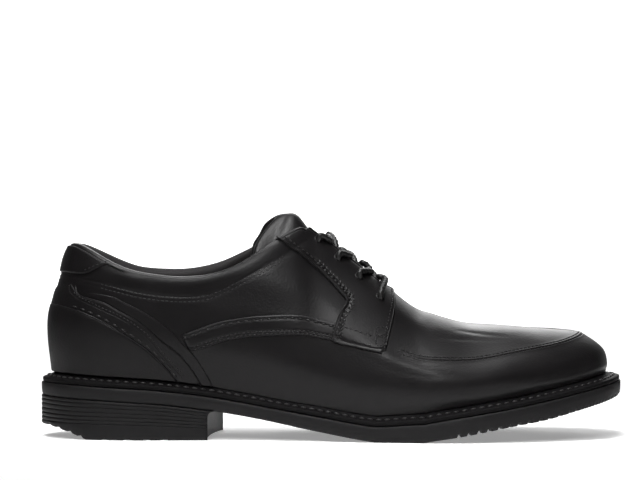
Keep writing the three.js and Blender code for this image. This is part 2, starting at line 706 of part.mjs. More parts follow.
function makeInsole() {
  const side = (turn) => featherInset(turn) + WALL + 1.2 * GAP;
  return solid(ringMesh([
    soleRing(side, (x) => feather(x) + GAP),
    soleRing(side, (x) => feather(x) + GAP + INSOLE_THICKNESS * 0.6),
    soleRing((turn) => side(turn) + INSOLE_THICKNESS / 2, (x) => feather(x) + GAP + INSOLE_THICKNESS),
  ]));
}

// Heel block under the sole plate, with a curved breast and a bevelled back
const BREAST = 0.301 * LENGTH;
const BREAST_HOLLOW = 2.5;
const BREAST_SLANT = 2.9; // the medial end of the breast stands further forward
const BEVEL = [[0.085, 0], [0.072, 0.22], [0.047, 0.58], [0.021, 0.84], [-0.02, 1]];

function heelBevel() {
  const edge = BEVEL.map(([at, rise]) => [at * LENGTH, rise * BACK_BEVEL]);
  const under = -BACK_BEVEL;
  return sidePrism([[edge[edge.length - 1][0], under], [edge[0][0], under], ...edge], -FAR, FAR);
}

function makeHeel() {
  const top = (x) => soleBottom(x) - GAP;
  const share = (k) => (x) => top(x) * k;
  const rings = [soleRing(1, () => 0), soleRing(0, () => 1)];
  const lip = 0.022;
  for (const k of HEEL_RIBS) {
    rings.push(soleRing(0, share(k - lip)), soleRing(RIB_DEPTH, share(k)), soleRing(0, share(k + lip)));
  }
  rings.push(soleRing(0, top));
  const block = solid(ringMesh(rings));
  const breast = [[-BESIDE_SOLE, -HEEL_WIDTH]];
  const bend = 10;
  for (let i = 0; i <= bend; i += 1) {
    const across = mix(-2, 2, i / bend);
    const x = BREAST - BREAST_HOLLOW * (1 - across * across) + BREAST_SLANT * across;
    breast.push([x, across * (HEEL_WIDTH / 2)]);
  }
  breast.push([-BESIDE_SOLE, HEEL_WIDTH]);
  return block.intersect(planPrism(breast, -1, HEEL_HEIGHT + SOLE_STACK)).subtract(heelBevel())
    .subtract(treadNotches(0.13, 0.27, 1.5 * LUG_PITCH, () => -LUG_DEPTH / 4));
}

// The tongue lies under the facings, stands up behind them and leans back from the ridge of the last
const TONGUE_EDGE = [
  [0.374, 0.83], [0.381, 0.93], [0.394, 1.01], [0.409, 1.055], [0.424, 1.08], [0.47, 1.2],
];
const TONGUE_TIP = [[0.66, 1.2], [0.66, 0.5], [0.56, 0.6]];
const TONGUE_HALF = 24; // half width at the ankle
const TONGUE_LEAN = 11.5; // fall of its free end below the ridge

function tonguePoint(turn, level, depth) {
  const p = lifted(turn, level, -depth);
  const across = clamp(Math.abs(p.y) / (TONGUE_HALF + 2), 0, 1);
  p.z -= TONGUE_LEAN * smooth(0.46, 0.37, shareAt(turn)) * (1 - across ** 3);
  return p;
}

function makeTongue() {
  const depth = WALL + 1.5 * GAP;
  const outer = lastForm((turn, level) => tonguePoint(turn, level, depth), 0, INNER_LEVELS);
  const lower = (turn, level) => tonguePoint(turn, level, depth + TONGUE_THICKNESS);
  const inner = lastForm(lower, OPEN_FOOT, INNER_LEVELS);
  const region = sidePrism([...smoothLine(TONGUE_EDGE), ...inMillimetres(TONGUE_TIP)], -FAR, FAR);
  const [back, front] = [0.3 * LENGTH, TONGUE_TIP[0][0] * LENGTH];
  const [wide, narrow] = [TONGUE_HALF, TONGUE_HALF * 0.9];
  const spread = [[back, -wide], [front, -narrow], [front, narrow], [back, wide]];
  const plan = planPrism(spread, 0, SKY * INSTEP_HEIGHT);
  return outer.subtract(inner).intersect(region).intersect(plan);
}

// Materials of the sub-parts
const leather = new THREE.MeshStandardMaterial({ color: '#1c1a1b', roughness: 0.38, metalness: 0 });
const lining = new THREE.MeshStandardMaterial({ color: '#232021', roughness: 0.8, metalness: 0 });
const lace = new THREE.MeshStandardMaterial({ color: '#1a1919', roughness: 0.5, metalness: 0 });
const rubber = new THREE.MeshStandardMaterial({ color: '#161617', roughness: 0.7, metalness: 0 });

function piece(name, body, material) {
  const { vertProperties, triVerts } = body.getMesh();
  const geometry = new THREE.BufferGeometry();
  geometry.setAttribute('position', new THREE.BufferAttribute(new Float32Array(vertProperties), 3));
  geometry.setIndex(new THREE.BufferAttribute(new Uint32Array(triVerts), 1));
  geometry.computeVertexNormals();
  const mesh = new THREE.Mesh(geometry, material);
  mesh.name = name;
  return mesh;
}

const shoe = new THREE.Group();
shoe.add(piece('outsole', makeOutsole(), rubber));
shoe.add(piece('heel', makeHeel(), rubber));
shoe.add(piece('welt', makeWelt(), rubber));
shoe.add(piece('insole', makeInsole(), lining));
shoe.add(piece('upper', makeUpper(), leather));
shoe.add(piece('tongue', makeTongue(), leather));
shoe.add(piece('heel_counter', makeCounter(), leather));
shoe.add(piece('heel_foxing', makeFoxing(), leather));
shoe.add(piece('heel_tab', makeHeelTab(), leather));
for (const side of ['lateral', 'medial']) {
  shoe.add(piece(`foxing_band_${side}`, makeBand(side), leather));
  shoe.add(piece(`side_strap_${side}`, makeStrap(side), leather));
  shoe.add(piece(`eyestay_${side}`, makeEyestay(side), leather));
}
for (let row = 0; row < EYELETS.length - 1; row += 1) {
  shoe.add(piece(`lace_cross_${row + 1}`, makeLaceCross(row), lace));
}
shoe.add(piece('lace_bar', makeLaceBar(), lace));

// The origin is the middle of the footprint, on the ground
const box = new THREE.Box3().setFromObject(shoe);
shoe.position.set(-(box.min.x + box.max.x) / 2, -(box.min.y + box.max.y) / 2, -box.min.z);

export default shoe;
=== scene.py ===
"""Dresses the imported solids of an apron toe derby, right shoe, in leather, laces, stitches and rubber."""

import bisect
import math

import bmesh
import bpy
from mathutils import Matrix, Vector


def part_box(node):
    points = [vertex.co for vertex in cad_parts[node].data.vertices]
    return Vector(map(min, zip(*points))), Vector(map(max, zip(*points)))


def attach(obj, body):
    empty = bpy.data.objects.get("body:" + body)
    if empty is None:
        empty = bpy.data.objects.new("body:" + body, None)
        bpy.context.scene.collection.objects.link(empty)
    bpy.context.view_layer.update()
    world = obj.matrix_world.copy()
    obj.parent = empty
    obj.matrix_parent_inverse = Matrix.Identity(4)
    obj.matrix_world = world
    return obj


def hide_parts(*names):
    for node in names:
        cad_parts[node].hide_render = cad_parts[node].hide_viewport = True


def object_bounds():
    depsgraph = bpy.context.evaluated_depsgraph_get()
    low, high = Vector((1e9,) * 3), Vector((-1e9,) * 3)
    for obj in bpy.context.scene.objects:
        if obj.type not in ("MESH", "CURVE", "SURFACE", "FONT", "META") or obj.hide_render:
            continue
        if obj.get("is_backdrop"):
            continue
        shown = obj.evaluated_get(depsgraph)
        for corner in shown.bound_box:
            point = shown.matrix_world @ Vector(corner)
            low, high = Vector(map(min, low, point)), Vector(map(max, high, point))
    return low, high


bl_info = {
    "name": "Apron toe derby",
    "version": (1, 0, 0),
    "blender": (4, 5, 0),
    "location": "3D View > Sidebar > Shoe",
    "description": "Models the upper, overlays, laces, seams and sole of a leather shoe round its solids",
    "category": "Object",
}

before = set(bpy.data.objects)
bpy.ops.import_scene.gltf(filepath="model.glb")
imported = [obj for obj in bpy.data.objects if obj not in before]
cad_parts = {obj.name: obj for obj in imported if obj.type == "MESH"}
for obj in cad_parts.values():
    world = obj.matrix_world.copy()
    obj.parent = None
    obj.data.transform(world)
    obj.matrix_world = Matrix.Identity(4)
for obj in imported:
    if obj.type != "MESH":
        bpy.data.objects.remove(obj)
CAD_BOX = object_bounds()

MM = 0.001
OUTSOLE_LOW, OUTSOLE_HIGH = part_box("outsole")

# Driving sizes, in millimetres
LENGTH = round((OUTSOLE_HIGH.x - OUTSOLE_LOW.x) / MM)
BALL_WIDTH = 102
HEEL_WIDTH = 68
INSTEP_HEIGHT = 110
TOE_HEIGHT = 56
HEEL_HEIGHT = 22
TOE_SPRING = 22.4
SOLE_STACK = 13
TOE_SWING = 4.5
WALL = 2.4
COLLAR_PAD = 2.6
OVERLAY = 1.3
GAP = 0.3
WELT_REACH = 6
WELT_DROP = 5.4
WELT_EDGE = 2.3
WELT_SEAT = 4.5
TONGUE_THICKNESS = 3.2
THROAT_WIDTH = 22
LUG_PITCH = 5.3

# Stations of the plan: (along, lateral, medial) half widths as shares of the local width
PLAN = [
    (0.03, 0.294, 0.294), (0.08, 0.437, 0.437), (0.15, 0.5, 0.493), (0.22, 0.5, 0.485),
    (0.3, 0.485, 0.463), (0.4, 0.469, 0.404), (0.5, 0.461, 0.378), (0.6, 0.49, 0.422),
    (0.68, 0.53, 0.474), (0.75, 0.531, 0.478), (0.82, 0.492, 0.449), (0.9, 0.416, 0.386),
    (0.95, 0.33, 0.304), (0.98, 0.226, 0.208),
]

# How far the feather line lies inside the outsole's edge: (along, share of the welt's reach)
FEATHER_INSET = [(0, 1.23), (0.15, 1), (0.45, 0.8), (0.85, 1.08), (1, 1.3)]

# Underside of the sole plate and the stack above it: (along, rise, stack)
SOLE_LINE = [
    (0, 1, 0.96), (0.131, 0.895, 0.97), (0.209, 0.827, 0.97), (0.292, 0.69, 0.97),
    (0.346, 0.573, 0.955), (0.388, 0.468, 0.955), (0.48, 0.214, 1.015), (0.58, -0.012, 1.046),
    (0.64, -0.02, 1.14), (0.67, 0.045, 1.16), (0.718, 0.147, 1.177), (0.8, 0.357, 1.13),
    (0.857, 0.49, 1.16), (0.916, 0.692, 1.1), (0.98, 0.915, 1.046), (1, 1, 1),
]

# Ridge of the last: (along, height)
RIDGE = [
    (0.114, 1.1), (0.196, 1.16), (0.294, 1.19), (0.36, 1.19), (0.408, 1.163), (0.441, 1.106),
    (0.474, 1.024), (0.507, 0.93), (0.549, 0.826), (0.597, 0.763), (0.641, 0.784), (0.684, 0.903),
    (0.727, 1.026), (0.784, 1.039), (0.841, 1.016), (0.898, 1.002), (0.974, 0.993),
]

# Cross sections: (along, low out, low up, high out, high up, seam out, seam up, crown out, crown up)
SECTIONS = [
    (0, 1.08, 0.27, 0.985, 0.45, 0.83, 0.63, 0.6, 0.8),
    (0.06, 1.085, 0.26, 1.02, 0.45, 0.89, 0.64, 0.62, 0.84),
    (0.2, 1.1, 0.24, 1.06, 0.45, 0.97, 0.63, 0.64, 0.86),
    (0.35, 1.13, 0.21, 1.1, 0.43, 0.95, 0.64, 0.56, 0.86),
    (0.47, 1.08, 0.19, 1.0, 0.41, 0.78, 0.66, 0.4, 0.9),
    (0.6, 1.07, 0.17, 1.06, 0.35, 0.95, 0.535, 0.5, 0.87),
    (0.75, 1.05, 0.14, 1.03, 0.35, 0.86, 0.567, 0.45, 0.88),
    (0.88, 1.03, 0.17, 0.99, 0.43, 0.8, 0.7, 0.42, 0.94),
    (1, 1.02, 0.24, 0.935, 0.59, 0.61, 0.92, 0.3, 0.985),
]

# Collar edge seen from the side: (along, lateral, medial)
COLLAR = [
    (-0.03, 0.945, 0.945), (0.06, 0.926, 0.926), (0.0755, 0.912, 0.914), (0.128, 0.836, 0.846),
    (0.162, 0.799, 0.812), (0.207, 0.775, 0.799), (0.249, 0.767, 0.801), (0.298, 0.782, 0.829),
    (0.343, 0.828, 0.88), (0.379, 0.893, 0.935), (0.405, 0.942, 1.005), (0.43, 0.983, 1.052),
    (0.448, 1.003, 1.062), (0.458, 1.007, 1.062), (0.488, 1.4, 1.4),
]

# Lower seam of the collar pad, and the eyelets from the top of the lacing: (along, up)
PAD_SEAM = [
    (0, 0.79), (0.1, 0.74), (0.193, 0.682), (0.284, 0.677), (0.358, 0.765), (0.43, 0.882), (0.47, 0.95),
]
EYELETS = [(0.476, 0.931), (0.5095, 0.844), (0.545, 0.756), (0.58, 0.66)]

# Edges of the overlays, as (along, up) shares of the length and the instep height
COUNTER_EDGE = [
    (-0.03, 0.64), (0.038, 0.627), (0.062, 0.612), (0.079, 0.6), (0.117, 0.556), (0.163, 0.482),
    (0.193, 0.423), (0.223, 0.339), (0.238, 0.282), (0.25, 0.2),
]
FOXING_EDGE = [
    (0.052, 0.79), (0.06, 0.725), (0.073, 0.678), (0.118, 0.64), (0.143, 0.603), (0.168, 0.566),
    (0.192, 0.517), (0.216, 0.459), (0.24, 0.41), (0.256, 0.36), (0.273, 0.293), (0.28, 0.248),
    (0.287, 0.19),
]
BAND_EDGE = [
    (0.066, 0.7), (0.085, 0.69), (0.133, 0.669), (0.148, 0.648), (0.175, 0.612), (0.2, 0.571),
    (0.224, 0.524), (0.24, 0.482), (0.25, 0.45), (0.266, 0.405), (0.284, 0.333), (0.298, 0.261),
    (0.306, 0.19),
]
TAB_EDGE = [(-0.03, 0.785), (0.04, 0.782), (0.084, 0.775), (0.106, 0.8), (0.125, 0.825), (0.15, 0.86)]
# Pressed step of the heel foxing, below its edge
STEP_EDGE = [
    (0.0575, 0.72), (0.058, 0.695), (0.063, 0.675), (0.076, 0.65), (0.109, 0.608), (0.152, 0.554),
    (0.188, 0.483), (0.216, 0.394), (0.248, 0.292), (0.262, 0.21),
]
STRAP_TOP = [
    (0.246, 0.491), (0.273, 0.518), (0.305, 0.549), (0.337, 0.567), (0.379, 0.581), (0.448, 0.584),
    (0.503, 0.549), (0.52, 0.54),
]
STRAP_FOOT = [
    (0.262, 0.408), (0.289, 0.436), (0.313, 0.459), (0.345, 0.477), (0.379, 0.487), (0.449, 0.49),
    (0.499, 0.468), (0.512, 0.46),
]
EYESTAY_BACK = [
    (0.582, 0.409), (0.546, 0.432), (0.5, 0.468), (0.505, 0.531), (0.513, 0.595), (0.5235, 0.644),
    (0.513, 0.686), (0.49, 0.757), (0.462, 0.83), (0.43, 0.895), (0.405, 0.942),
]
EYESTAY_FRONT = [(0.59, 0.425), (0.596, 0.494), (0.604, 0.585), (0.608, 0.64), (0.6065, 0.69)]

# Heel block: breast, back bevel as (along, rise), notches in millimetres, ribs in shares of its height
BREAST = 0.301 * LENGTH
BREAST_HOLLOW = 2.5
BREAST_SLANT = 2.9
BREAST_FILLET = 3.2
BACK_BEVEL = 7.4
BEVEL = [(-0.02, 1), (0.021, 0.84), (0.047, 0.58), (0.072, 0.22), (0.085, 0)]
HEEL_NOTCHES = (5.5, 10.9, 17.4, 23.1, 36, 47.8, 57.8, 67.3)
HEEL_RIBS = (0.41, 0.505, 0.605, 0.715, 0.83, 0.93)
# One groove between two ribs: (step over the height, share of the depth)
RIB_STEPS = [(-0.03, 0), (-0.018, 0.1), (-0.009, 0.85), (0, 1), (0.009, 0.85), (0.018, 0.1), (0.03, 0)]

# Rounded edge of the welt: (inwards, rise) in millimetres
WELT_ROWS = [
    (1.6, 0), (1.0, 0.15), (0.7, 0.5), (0.62, 1.2), (0.75, WELT_EDGE - 0.3), (1.15, WELT_EDGE + 0.05),
    (1.9, WELT_EDGE + 0.35),
]

# Lower edge of the outsole: (inwards, rise, share of the notches)
EDGE_ROWS = [
    (0.15, 2.6, 0), (0.25, 1.7, 0), (0.4, 0.8, 0.6), (0.8, 0.2, 0.88), (1.3, 0.02, 1), (7.0, 0.02, 1.05),
]

# Rolled edge of the footbed, (inwards, rise), and the hollow of its middle
FOOTBED_ROLL = [(0.4, 0.0), (0.05, 0.25), (0.0, 0.9), (0.0, 1.7), (0.35, 2.4), (1.2, 2.9), (2.6, 3.05)]
FOOTBED_DISH = 1.2

# Back edge of the tongue on its lateral and its medial half, as (along, up)
TONGUE_LATERAL = [
    (0.372, 0.83), (0.3768, 0.912), (0.391, 0.982), (0.407, 1.04), (0.4185, 1.08), (0.47, 1.2),
]
TONGUE_MEDIAL = [
    (0.364, 0.83), (0.3705, 0.918), (0.3804, 0.962), (0.3948, 1.033), (0.4125, 1.075), (0.47, 1.2),
]

# Soft troughs of the vamp: side, from (along, up) to (along, up), width and depth in millimetres
CREASES = [
    (-1, 0.712, 0.51, 0.795, 0.478, 0.6, 0.42),
    (-1, 0.675, 0.478, 0.79, 0.462, 0.65, 0.36),
    (-1, 0.66, 0.5, 0.71, 0.485, 1.6, 0.16),
    (-1, 0.638, 0.63, 0.662, 0.55, 4.0, 0.9),
    (1, 0.7, 0.52, 0.79, 0.49, 0.9, 0.3),
    (1, 0.69, 0.47, 0.77, 0.465, 0.9, 0.24),
    (1, 0.634, 0.66, 0.66, 0.55, 4.5, 0.9),
]


def mix(a, b, k):
    """Value between a and b, by the share k."""
    return a + (b - a) * k


def clamp(value, low, high):
    """Value kept between low and high."""
    return min(high, max(low, value))


def smooth(start, end, value):
    """Share from 0 to 1 that eases in and out between start and end."""
    k = clamp((value - start) / (end - start), 0, 1)
    return k * k * (3 - 2 * k)


def curve_through(knots, values):
    """Smooth curve through values at knots, level past its ends."""
    last = len(knots) - 1
    slopes = []
    for i in range(last + 1):
        a, b = max(0, i - 1), min(last, i + 1)
        slopes.append((values[b] - values[a]) / (knots[b] - knots[a]))

    def read(x):
        at = clamp(x, knots[0], knots[last])
        i = clamp(bisect.bisect_left(knots, at) - 1, 0, last - 1)
        width = knots[i + 1] - knots[i]
        k = (at - knots[i]) / width
        k2 = k * k
        k3 = k2 * k
        return ((2 * k3 - 3 * k2 + 1) * values[i] + (k3 - 2 * k2 + k) * width * slopes[i]
                + (3 * k2 - 2 * k3) * values[i + 1] + (k3 - k2) * width * slopes[i + 1])

    return read


def halved(low, high, steps, below):
    """Narrows low and high round the place where below stops being true."""
    for _ in range(steps):
        middle = (low + high) / 2
        if below(middle):
            low = middle
        else:
            high = middle
    return low, high


def reach_along(points, least=0):
    """Distance along a path at each of its points; no step counts as less than the least."""
    reach = [0]
    for a, b in zip(points, points[1:]):
        reach.append(reach[-1] + max(least, (b - a).length))
    return reach


def softened(curve, reach, wrapped=lambda at: at):
    """The same curve with its bends eased over the reach."""
    def read(at):
        return curve(wrapped(at - reach)) / 4 + curve(at) / 2 + curve(wrapped(at + reach)) / 4

    return read


def column(rows, place, unit=1):
    """Curve over the first column of rows, through another of their columns."""
    return curve_through([row[0] for row in rows], [row[place] * unit for row in rows])


def share_at(turn):
    """Share of the length at a turn: 0 at the heel back, 1 or -1 at the toe tip."""
    return (1 - math.cos(math.pi * turn)) / 2


def turn_at(share):
    """Turn of a share of the length."""
    return math.acos(1 - 2 * clamp(share, 0, 1)) / math.pi


def around_the_shoe(rows, lateral, medial, sign):
    """Curve over the turn, lateral side below zero, that closes at heel and toe."""
    loop = [(-turn_at(row[0]), sign * row[lateral]) for row in rows]
    loop += [(turn_at(row[0]), row[medial]) for row in rows]
    loop.sort()
    wrapped = [(a - 2, b) for a, b in loop if a > 0.5] + loop + [(a + 2, b) for a, b in loop if a < -0.5]
    wrapped.sort()
    knots = []
    values = []
    for a, b in wrapped:
        if not knots or a - knots[-1] > 1e-6:
            knots.append(a)
            values.append(b)
    return curve_through(knots, values)


def wrap(turn):
    """The same turn between -1 and 1."""
    if turn > 1:
        return turn - 2
    if turn < -1:
        return turn + 2
    return turn


# How far bends are eased: over the turn in the sections, over millimetres in the ridge
SECTION_EASE = 0.022
RIDGE_EASE = 8
half_width = around_the_shoe(PLAN, 1, 2, -1)
section = [softened(around_the_shoe(SECTIONS, place, place, 1), SECTION_EASE, wrap) for place in range(1, 9)]
inset = column(FEATHER_INSET, 1)
sole_rise = column(SOLE_LINE, 1)
sole_stack = column(SOLE_LINE, 2)
ridge_share = column(RIDGE, 1)
collar = {-1: column(COLLAR, 1, INSTEP_HEIGHT), 1: column(COLLAR, 2, INSTEP_HEIGHT)}
pad_seam = column(PAD_SEAM, 1, INSTEP_HEIGHT)


def local_width(share):
    """Width of heel or ball that the plan's half widths are shares of."""
    return mix(HEEL_WIDTH, BALL_WIDTH, smooth(0.3, 0.6, share))


def swing(share):
    """Sideways swing of the middle line towards the toe."""
    return TOE_SWING * smooth(0.5, 1, share)


def sole_bottom(x):
    """Height of the sole's underside at x."""
    return max(0, sole_rise(x / LENGTH) * mix(HEEL_HEIGHT, TOE_SPRING, smooth(0.5, 0.65, x / LENGTH)))


def feather(x):
    """Height of the line where the upper meets the welt, at x."""
    return sole_bottom(x) + sole_stack(x / LENGTH) * SOLE_STACK


def ridge_line(x):
    """Height of the last's ridge at x."""
    return ridge_share(x / LENGTH) * mix(INSTEP_HEIGHT, TOE_HEIGHT, smooth(0.55, 0.75, x / LENGTH))


ridge = softened(ridge_line, RIDGE_EASE)


def feather_inset(turn):
    """Distance of the feather line from the outsole's edge."""
    return WELT_REACH * inset(share_at(turn))


def plan_point(turn):
    """Point of the outsole's edge in plan."""
    share = share_at(turn)
    return LENGTH * share, swing(share) + local_width(share) * half_width(turn)


def outline(turn, inwards=0):
    """Edge of the outsole in plan, moved inwards."""
    x, y = plan_point(turn)
    ax, ay = plan_point(wrap(turn - 1e-3))
    bx, by = plan_point(wrap(turn + 1e-3))
    run = math.hypot(bx - ax, by - ay)
    return x + (by - ay) / run * inwards, y - (bx - ax) / run * inwards


SPINE_BACK = 0.114 * LENGTH
SPINE_FRONT = 0.863 * LENGTH
LEVELS = [-0.2, 0, 0.2, 0.4, 0.6, 0.8, 1, 1.2]
SEAM_LEVEL = 0.6
stations = {}


def station(turn):
    """Foot, spine and section curves of one turn, worked out once."""
    key = round(turn, 7)
    if key not in stations:
        share = share_at(turn)
        foot_x, foot_y = outline(turn, feather_inset(turn))
        spine_x = mix(SPINE_BACK, SPINE_FRONT, share)
        shares = [curve(turn) for curve in section]
        low_out, low_up, high_out, high_up, seam_out, seam_up, crown_out, crown_up = shares
        outs = curve_through(LEVELS, [2 - low_out, 1, low_out, high_out, seam_out, crown_out, 0, -crown_out])
        ups = curve_through(LEVELS, [-low_up, 0, low_up, high_up, seam_up, crown_up, 1, crown_up])
        stations[key] = (foot_x, foot_y, spine_x, swing(spine_x / LENGTH), feather(foot_x), outs, ups)
    return stations[key]


def skin(turn, level):
    """Point of the upper's outer face, in millimetres from the heel back and the centre line."""
    foot_x, foot_y, spine_x, spine_y, low, outs, ups = station(turn)
    out = outs(level)
    x = mix(spine_x, foot_x, out)
    return Vector((x, mix(spine_y, foot_y, out), low + ups(level) * (ridge(x) - low)))


def outwards(turn, level):
    """Direction out of the leather, and the direction up along it."""
    low = max(0, level - 2e-3)
    high = min(1, level + 2e-3)
    if level > 0.998:
        side = 1 if turn > 0 else -1
        near = skin(side * abs(turn), 0.996)
        far = skin(-side * abs(turn), 0.996)
        upward = far - near
    else:
        upward = skin(turn, high) - skin(turn, low)
    along = skin(wrap(turn + 2e-3), level) - skin(wrap(turn - 2e-3), level)
    out = upward.cross(along)
    return out.normalized(), upward.normalized()


def lifted(turn, level, lift):
    """Point over the upper's outer face."""
    return skin(turn, level) + outwards(turn, level)[0] * lift


def on_skin(x, z, side):
    """Turn and level of the place that the side view shows at (x, z)."""
    turn = turn_at(x / LENGTH)
    level = 0.5
    for _ in range(9):
        low, high = 0, 1
        for _ in range(14):
            level = (low + high) / 2
            if skin(side * turn, level).z < z:
                low = level
            else:
                high = level
        turn = clamp(turn + (x - skin(side * turn, level).x) / (LENGTH * 1.5), 0.001, 0.999)
    return side * turn, level


def level_under(turn, height_at):
    """Highest level of a turn that lies under a side view edge."""
    def under(level):
        p = skin(turn, level)
        return p.z < height_at(p.x)

    return halved(0, 1, 16, under)[0]


def side_line(rows, steps=6):
    """Points in millimetres along a smooth line through rows of (along, up)."""
    places = [(row[0] * LENGTH, row[1] * INSTEP_HEIGHT) for row in rows]
    reach = [0]
    for a, b in zip(places, places[1:]):
        reach.append(reach[-1] + math.hypot(b[0] - a[0], b[1] - a[1]))
    xs = curve_through(reach, [p[0] for p in places])
    zs = curve_through(reach, [p[1] for p in places])
    count = (len(rows) - 1) * steps
    return [(xs(reach[-1] * i / count), zs(reach[-1] * i / count)) for i in range(count + 1)]


def edge_height(rows):
    """Height of a side view edge over x, from rows that run forwards."""
    line = side_line(rows)
    knots = []
    values = []
    for x, z in line:
        if not knots or x - knots[-1] > 0.05:
            knots.append(x)
            values.append(z)
    return curve_through(knots, values)


# Openings of the upper
THROAT_BACK = 0.36 * LENGTH
THROAT_FRONT = 0.602 * LENGTH
THROAT_BEND = 7


def throat_half(x):
    """Half width of the throat at x."""
    if x < THROAT_BACK or x > THROAT_FRONT:
        return -40
    back_half = THROAT_WIDTH / 2 + 2
    front_half = THROAT_WIDTH / 2 - THROAT_BEND / 2
    bend = THROAT_FRONT - THROAT_BEND
    if x < bend:
        return mix(back_half, front_half, (x - THROAT_BACK) / (bend - THROAT_BACK))
    return front_half * math.sqrt(max(0, 1 - ((x - bend) / THROAT_BEND) ** 2))


def pad_depth(p):
    """Thickness of the upper at a point of its outer face, more in the padded collar."""
    seam = pad_seam(p.x / LENGTH)
    share = p.x / LENGTH
    return WALL + COLLAR_PAD * smooth(seam - 6, seam + 6, p.z) * (1 - smooth(0.3, 0.36, share))


def opening(turn, level, margin):
    """Above zero inside the collar or throat, in millimetres."""
    p = skin(turn, level)
    side = -1 if turn < 0 else 1
    over_collar = p.z - (collar[side](p.x / LENGTH) - margin)
    in_throat = throat_half(p.x) + margin - abs(p.y)
    if p.x < THROAT_BACK + 12:
        in_throat -= 40 * smooth(THROAT_BACK + 12, THROAT_BACK, p.x)
    blend = 4
    if abs(over_collar - in_throat) < blend:
        k = (blend - abs(over_collar - in_throat)) / blend
        return max(over_collar, in_throat) + k * k * blend / 4
    return max(over_collar, in_throat)


def top_level(turn):
    """Level at which the upper's edge lies; 1 where the vamp is closed."""
    def closed(level):
        return opening(turn, level, pad_depth(skin(turn, level)) / 2) <= 0

    level = 0.4
    while level < 1.0001:
        if not closed(min(level, 1)):
            return halved(level - 0.02, min(level, 1), 12, closed)[0]
        level += 0.02
    return 1


def near_segment(px, pz, ax, az, bx, bz):
    """Distance of a point from a segment, and the share along it of the nearest place."""
    run = (bx - ax) ** 2 + (bz - az) ** 2
    k = clamp(((px - ax) * (bx - ax) + (pz - az) * (bz - az)) / run, 0, 1)
    return math.hypot(px - mix(ax, bx, k), pz - mix(az, bz, k)), k


def crease_depth(turn, p):
    """How deep the soft troughs of the leather go at a point."""
    side = -1 if turn < 0 else 1
    scale = bpy.context.scene.shoe_sizes.crease_depth / MM / 0.9
    depth = 0
    for crease_side, x0, z0, x1, z1, width, deep in CREASES:
        if crease_side != side:
            continue
        gap, k = near_segment(p.x, p.z, x0 * LENGTH, z0 * INSTEP_HEIGHT, x1 * LENGTH, z1 * INSTEP_HEIGHT)
        if gap < width * 3:
            fade = 0.35 + 0.65 * math.sin(math.pi * clamp(k, 0.1, 0.9))
            depth += scale * deep * bump(gap, width) * fade
    return depth


def bump(distance, width):
    """Rounded hump of height 1 that fades over the width."""
    return math.exp(-((distance / width) ** 2))


def apron_height(turn, level, wide):
    """Double ridge of the apron seam and the groove between, from the distance across it."""
    share = share_at(turn)
    fade = smooth(0.6, 0.64, share)
    if fade == 0 or abs(level - SEAM_LEVEL) > 0.09:
        return 0
    across = (level - SEAM_LEVEL) * wide
    grooves = bump(across + 0.95, 0.34) + bump(across - 0.95, 0.34)
    return fade * (0.4 * bump(across + 0.2, 1.9) - 0.5 * grooves)


def leather_point(turn, level, wide):
    """Outer face of the leather with its seams, pad, troughs and slack."""
    p = skin(turn, level)
    out, _ = outwards(turn, level)
    side = -1 if turn < 0 else 1
    below = p.z - pad_seam(p.x / LENGTH)
    pad_on = 1 - smooth(0.44, 0.475, p.x / LENGTH)
    lift = apron_height(turn, level, wide) - crease_depth(turn, p)
    under_rim = collar[side](p.x / LENGTH) - p.z
    roll = 1 - (1 - clamp(under_rim, 0, 7) / 7) ** 2
    seam = 0.4 * bump(below, 0.55) + 0.22 * bump(below + 2, 0.5)
    lift += pad_on * (0.9 * roll + 0.6 * smooth(0, 8, below) - seam)
    slack = math.sin(p.x * 0.11 + p.z * 0.17) * math.sin(p.z * 0.13 - p.x * 0.043 + (2 if side < 0 else 0.7))
    lift += 0.22 * slack * smooth(0.05, 0.2, level)
    return p + out * lift, out


EDGE_LOW = min(outline(-1 + i / 200)[1] for i in range(401))
SHIFT = Vector((OUTSOLE_LOW.x, OUTSOLE_LOW.y - EDGE_LOW * MM, 0))


def placed(p):
    """Frame place of a point in millimetres from the heel back and the centre line."""
    return Vector(p) * MM + SHIFT


# Mesh helpers
def moved_grid(bm, columns, rows, place, uv=None, closed=False, flip=False):
    """Grid of columns by rows faces with points set by place(column, row); returns them in a table."""
    made = bmesh.ops.create_grid(bm, x_segments=columns, y_segments=rows, size=1)["verts"]
    points = {}
    for vert in made:
        i = round((vert.co.x + 1) / 2 * columns)
        j = round((vert.co.y + 1) / 2 * rows)
        points[(i, j)] = vert
    faces = {face for vert in made for face in vert.link_faces}
    if uv:
        layer = bm.loops.layers.uv.verify()
        for (i, j), vert in points.items():
            for loop in vert.link_loops:
                loop[layer].uv = uv(i, j)
    for (i, j), vert in points.items():
        vert.co = placed(place(i, j))
    for face in faces:
        face.smooth = True
    if flip:
        bmesh.ops.reverse_faces(bm, faces=list(faces))
    if closed:
        bmesh.ops.remove_doubles(bm, verts=made, dist=1e-6)
    return points


def finish_piece(bm, name, materials, nodes=(), doubles=None):
    """Turns a bmesh into a shoe piece with its materials, on the shoe's body."""
    if doubles:
        bmesh.ops.remove_doubles(bm, verts=bm.verts, dist=doubles)
    mesh = bpy.data.meshes.new(name)
    bm.to_mesh(mesh)
    bm.free()
    piece = bpy.data.objects.new(name, mesh)
    bpy.context.scene.collection.objects.link(piece)
    for material in materials:
        mesh.materials.append(material)
    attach(piece, "root")
    if nodes:
        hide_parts(*nodes)
    return piece


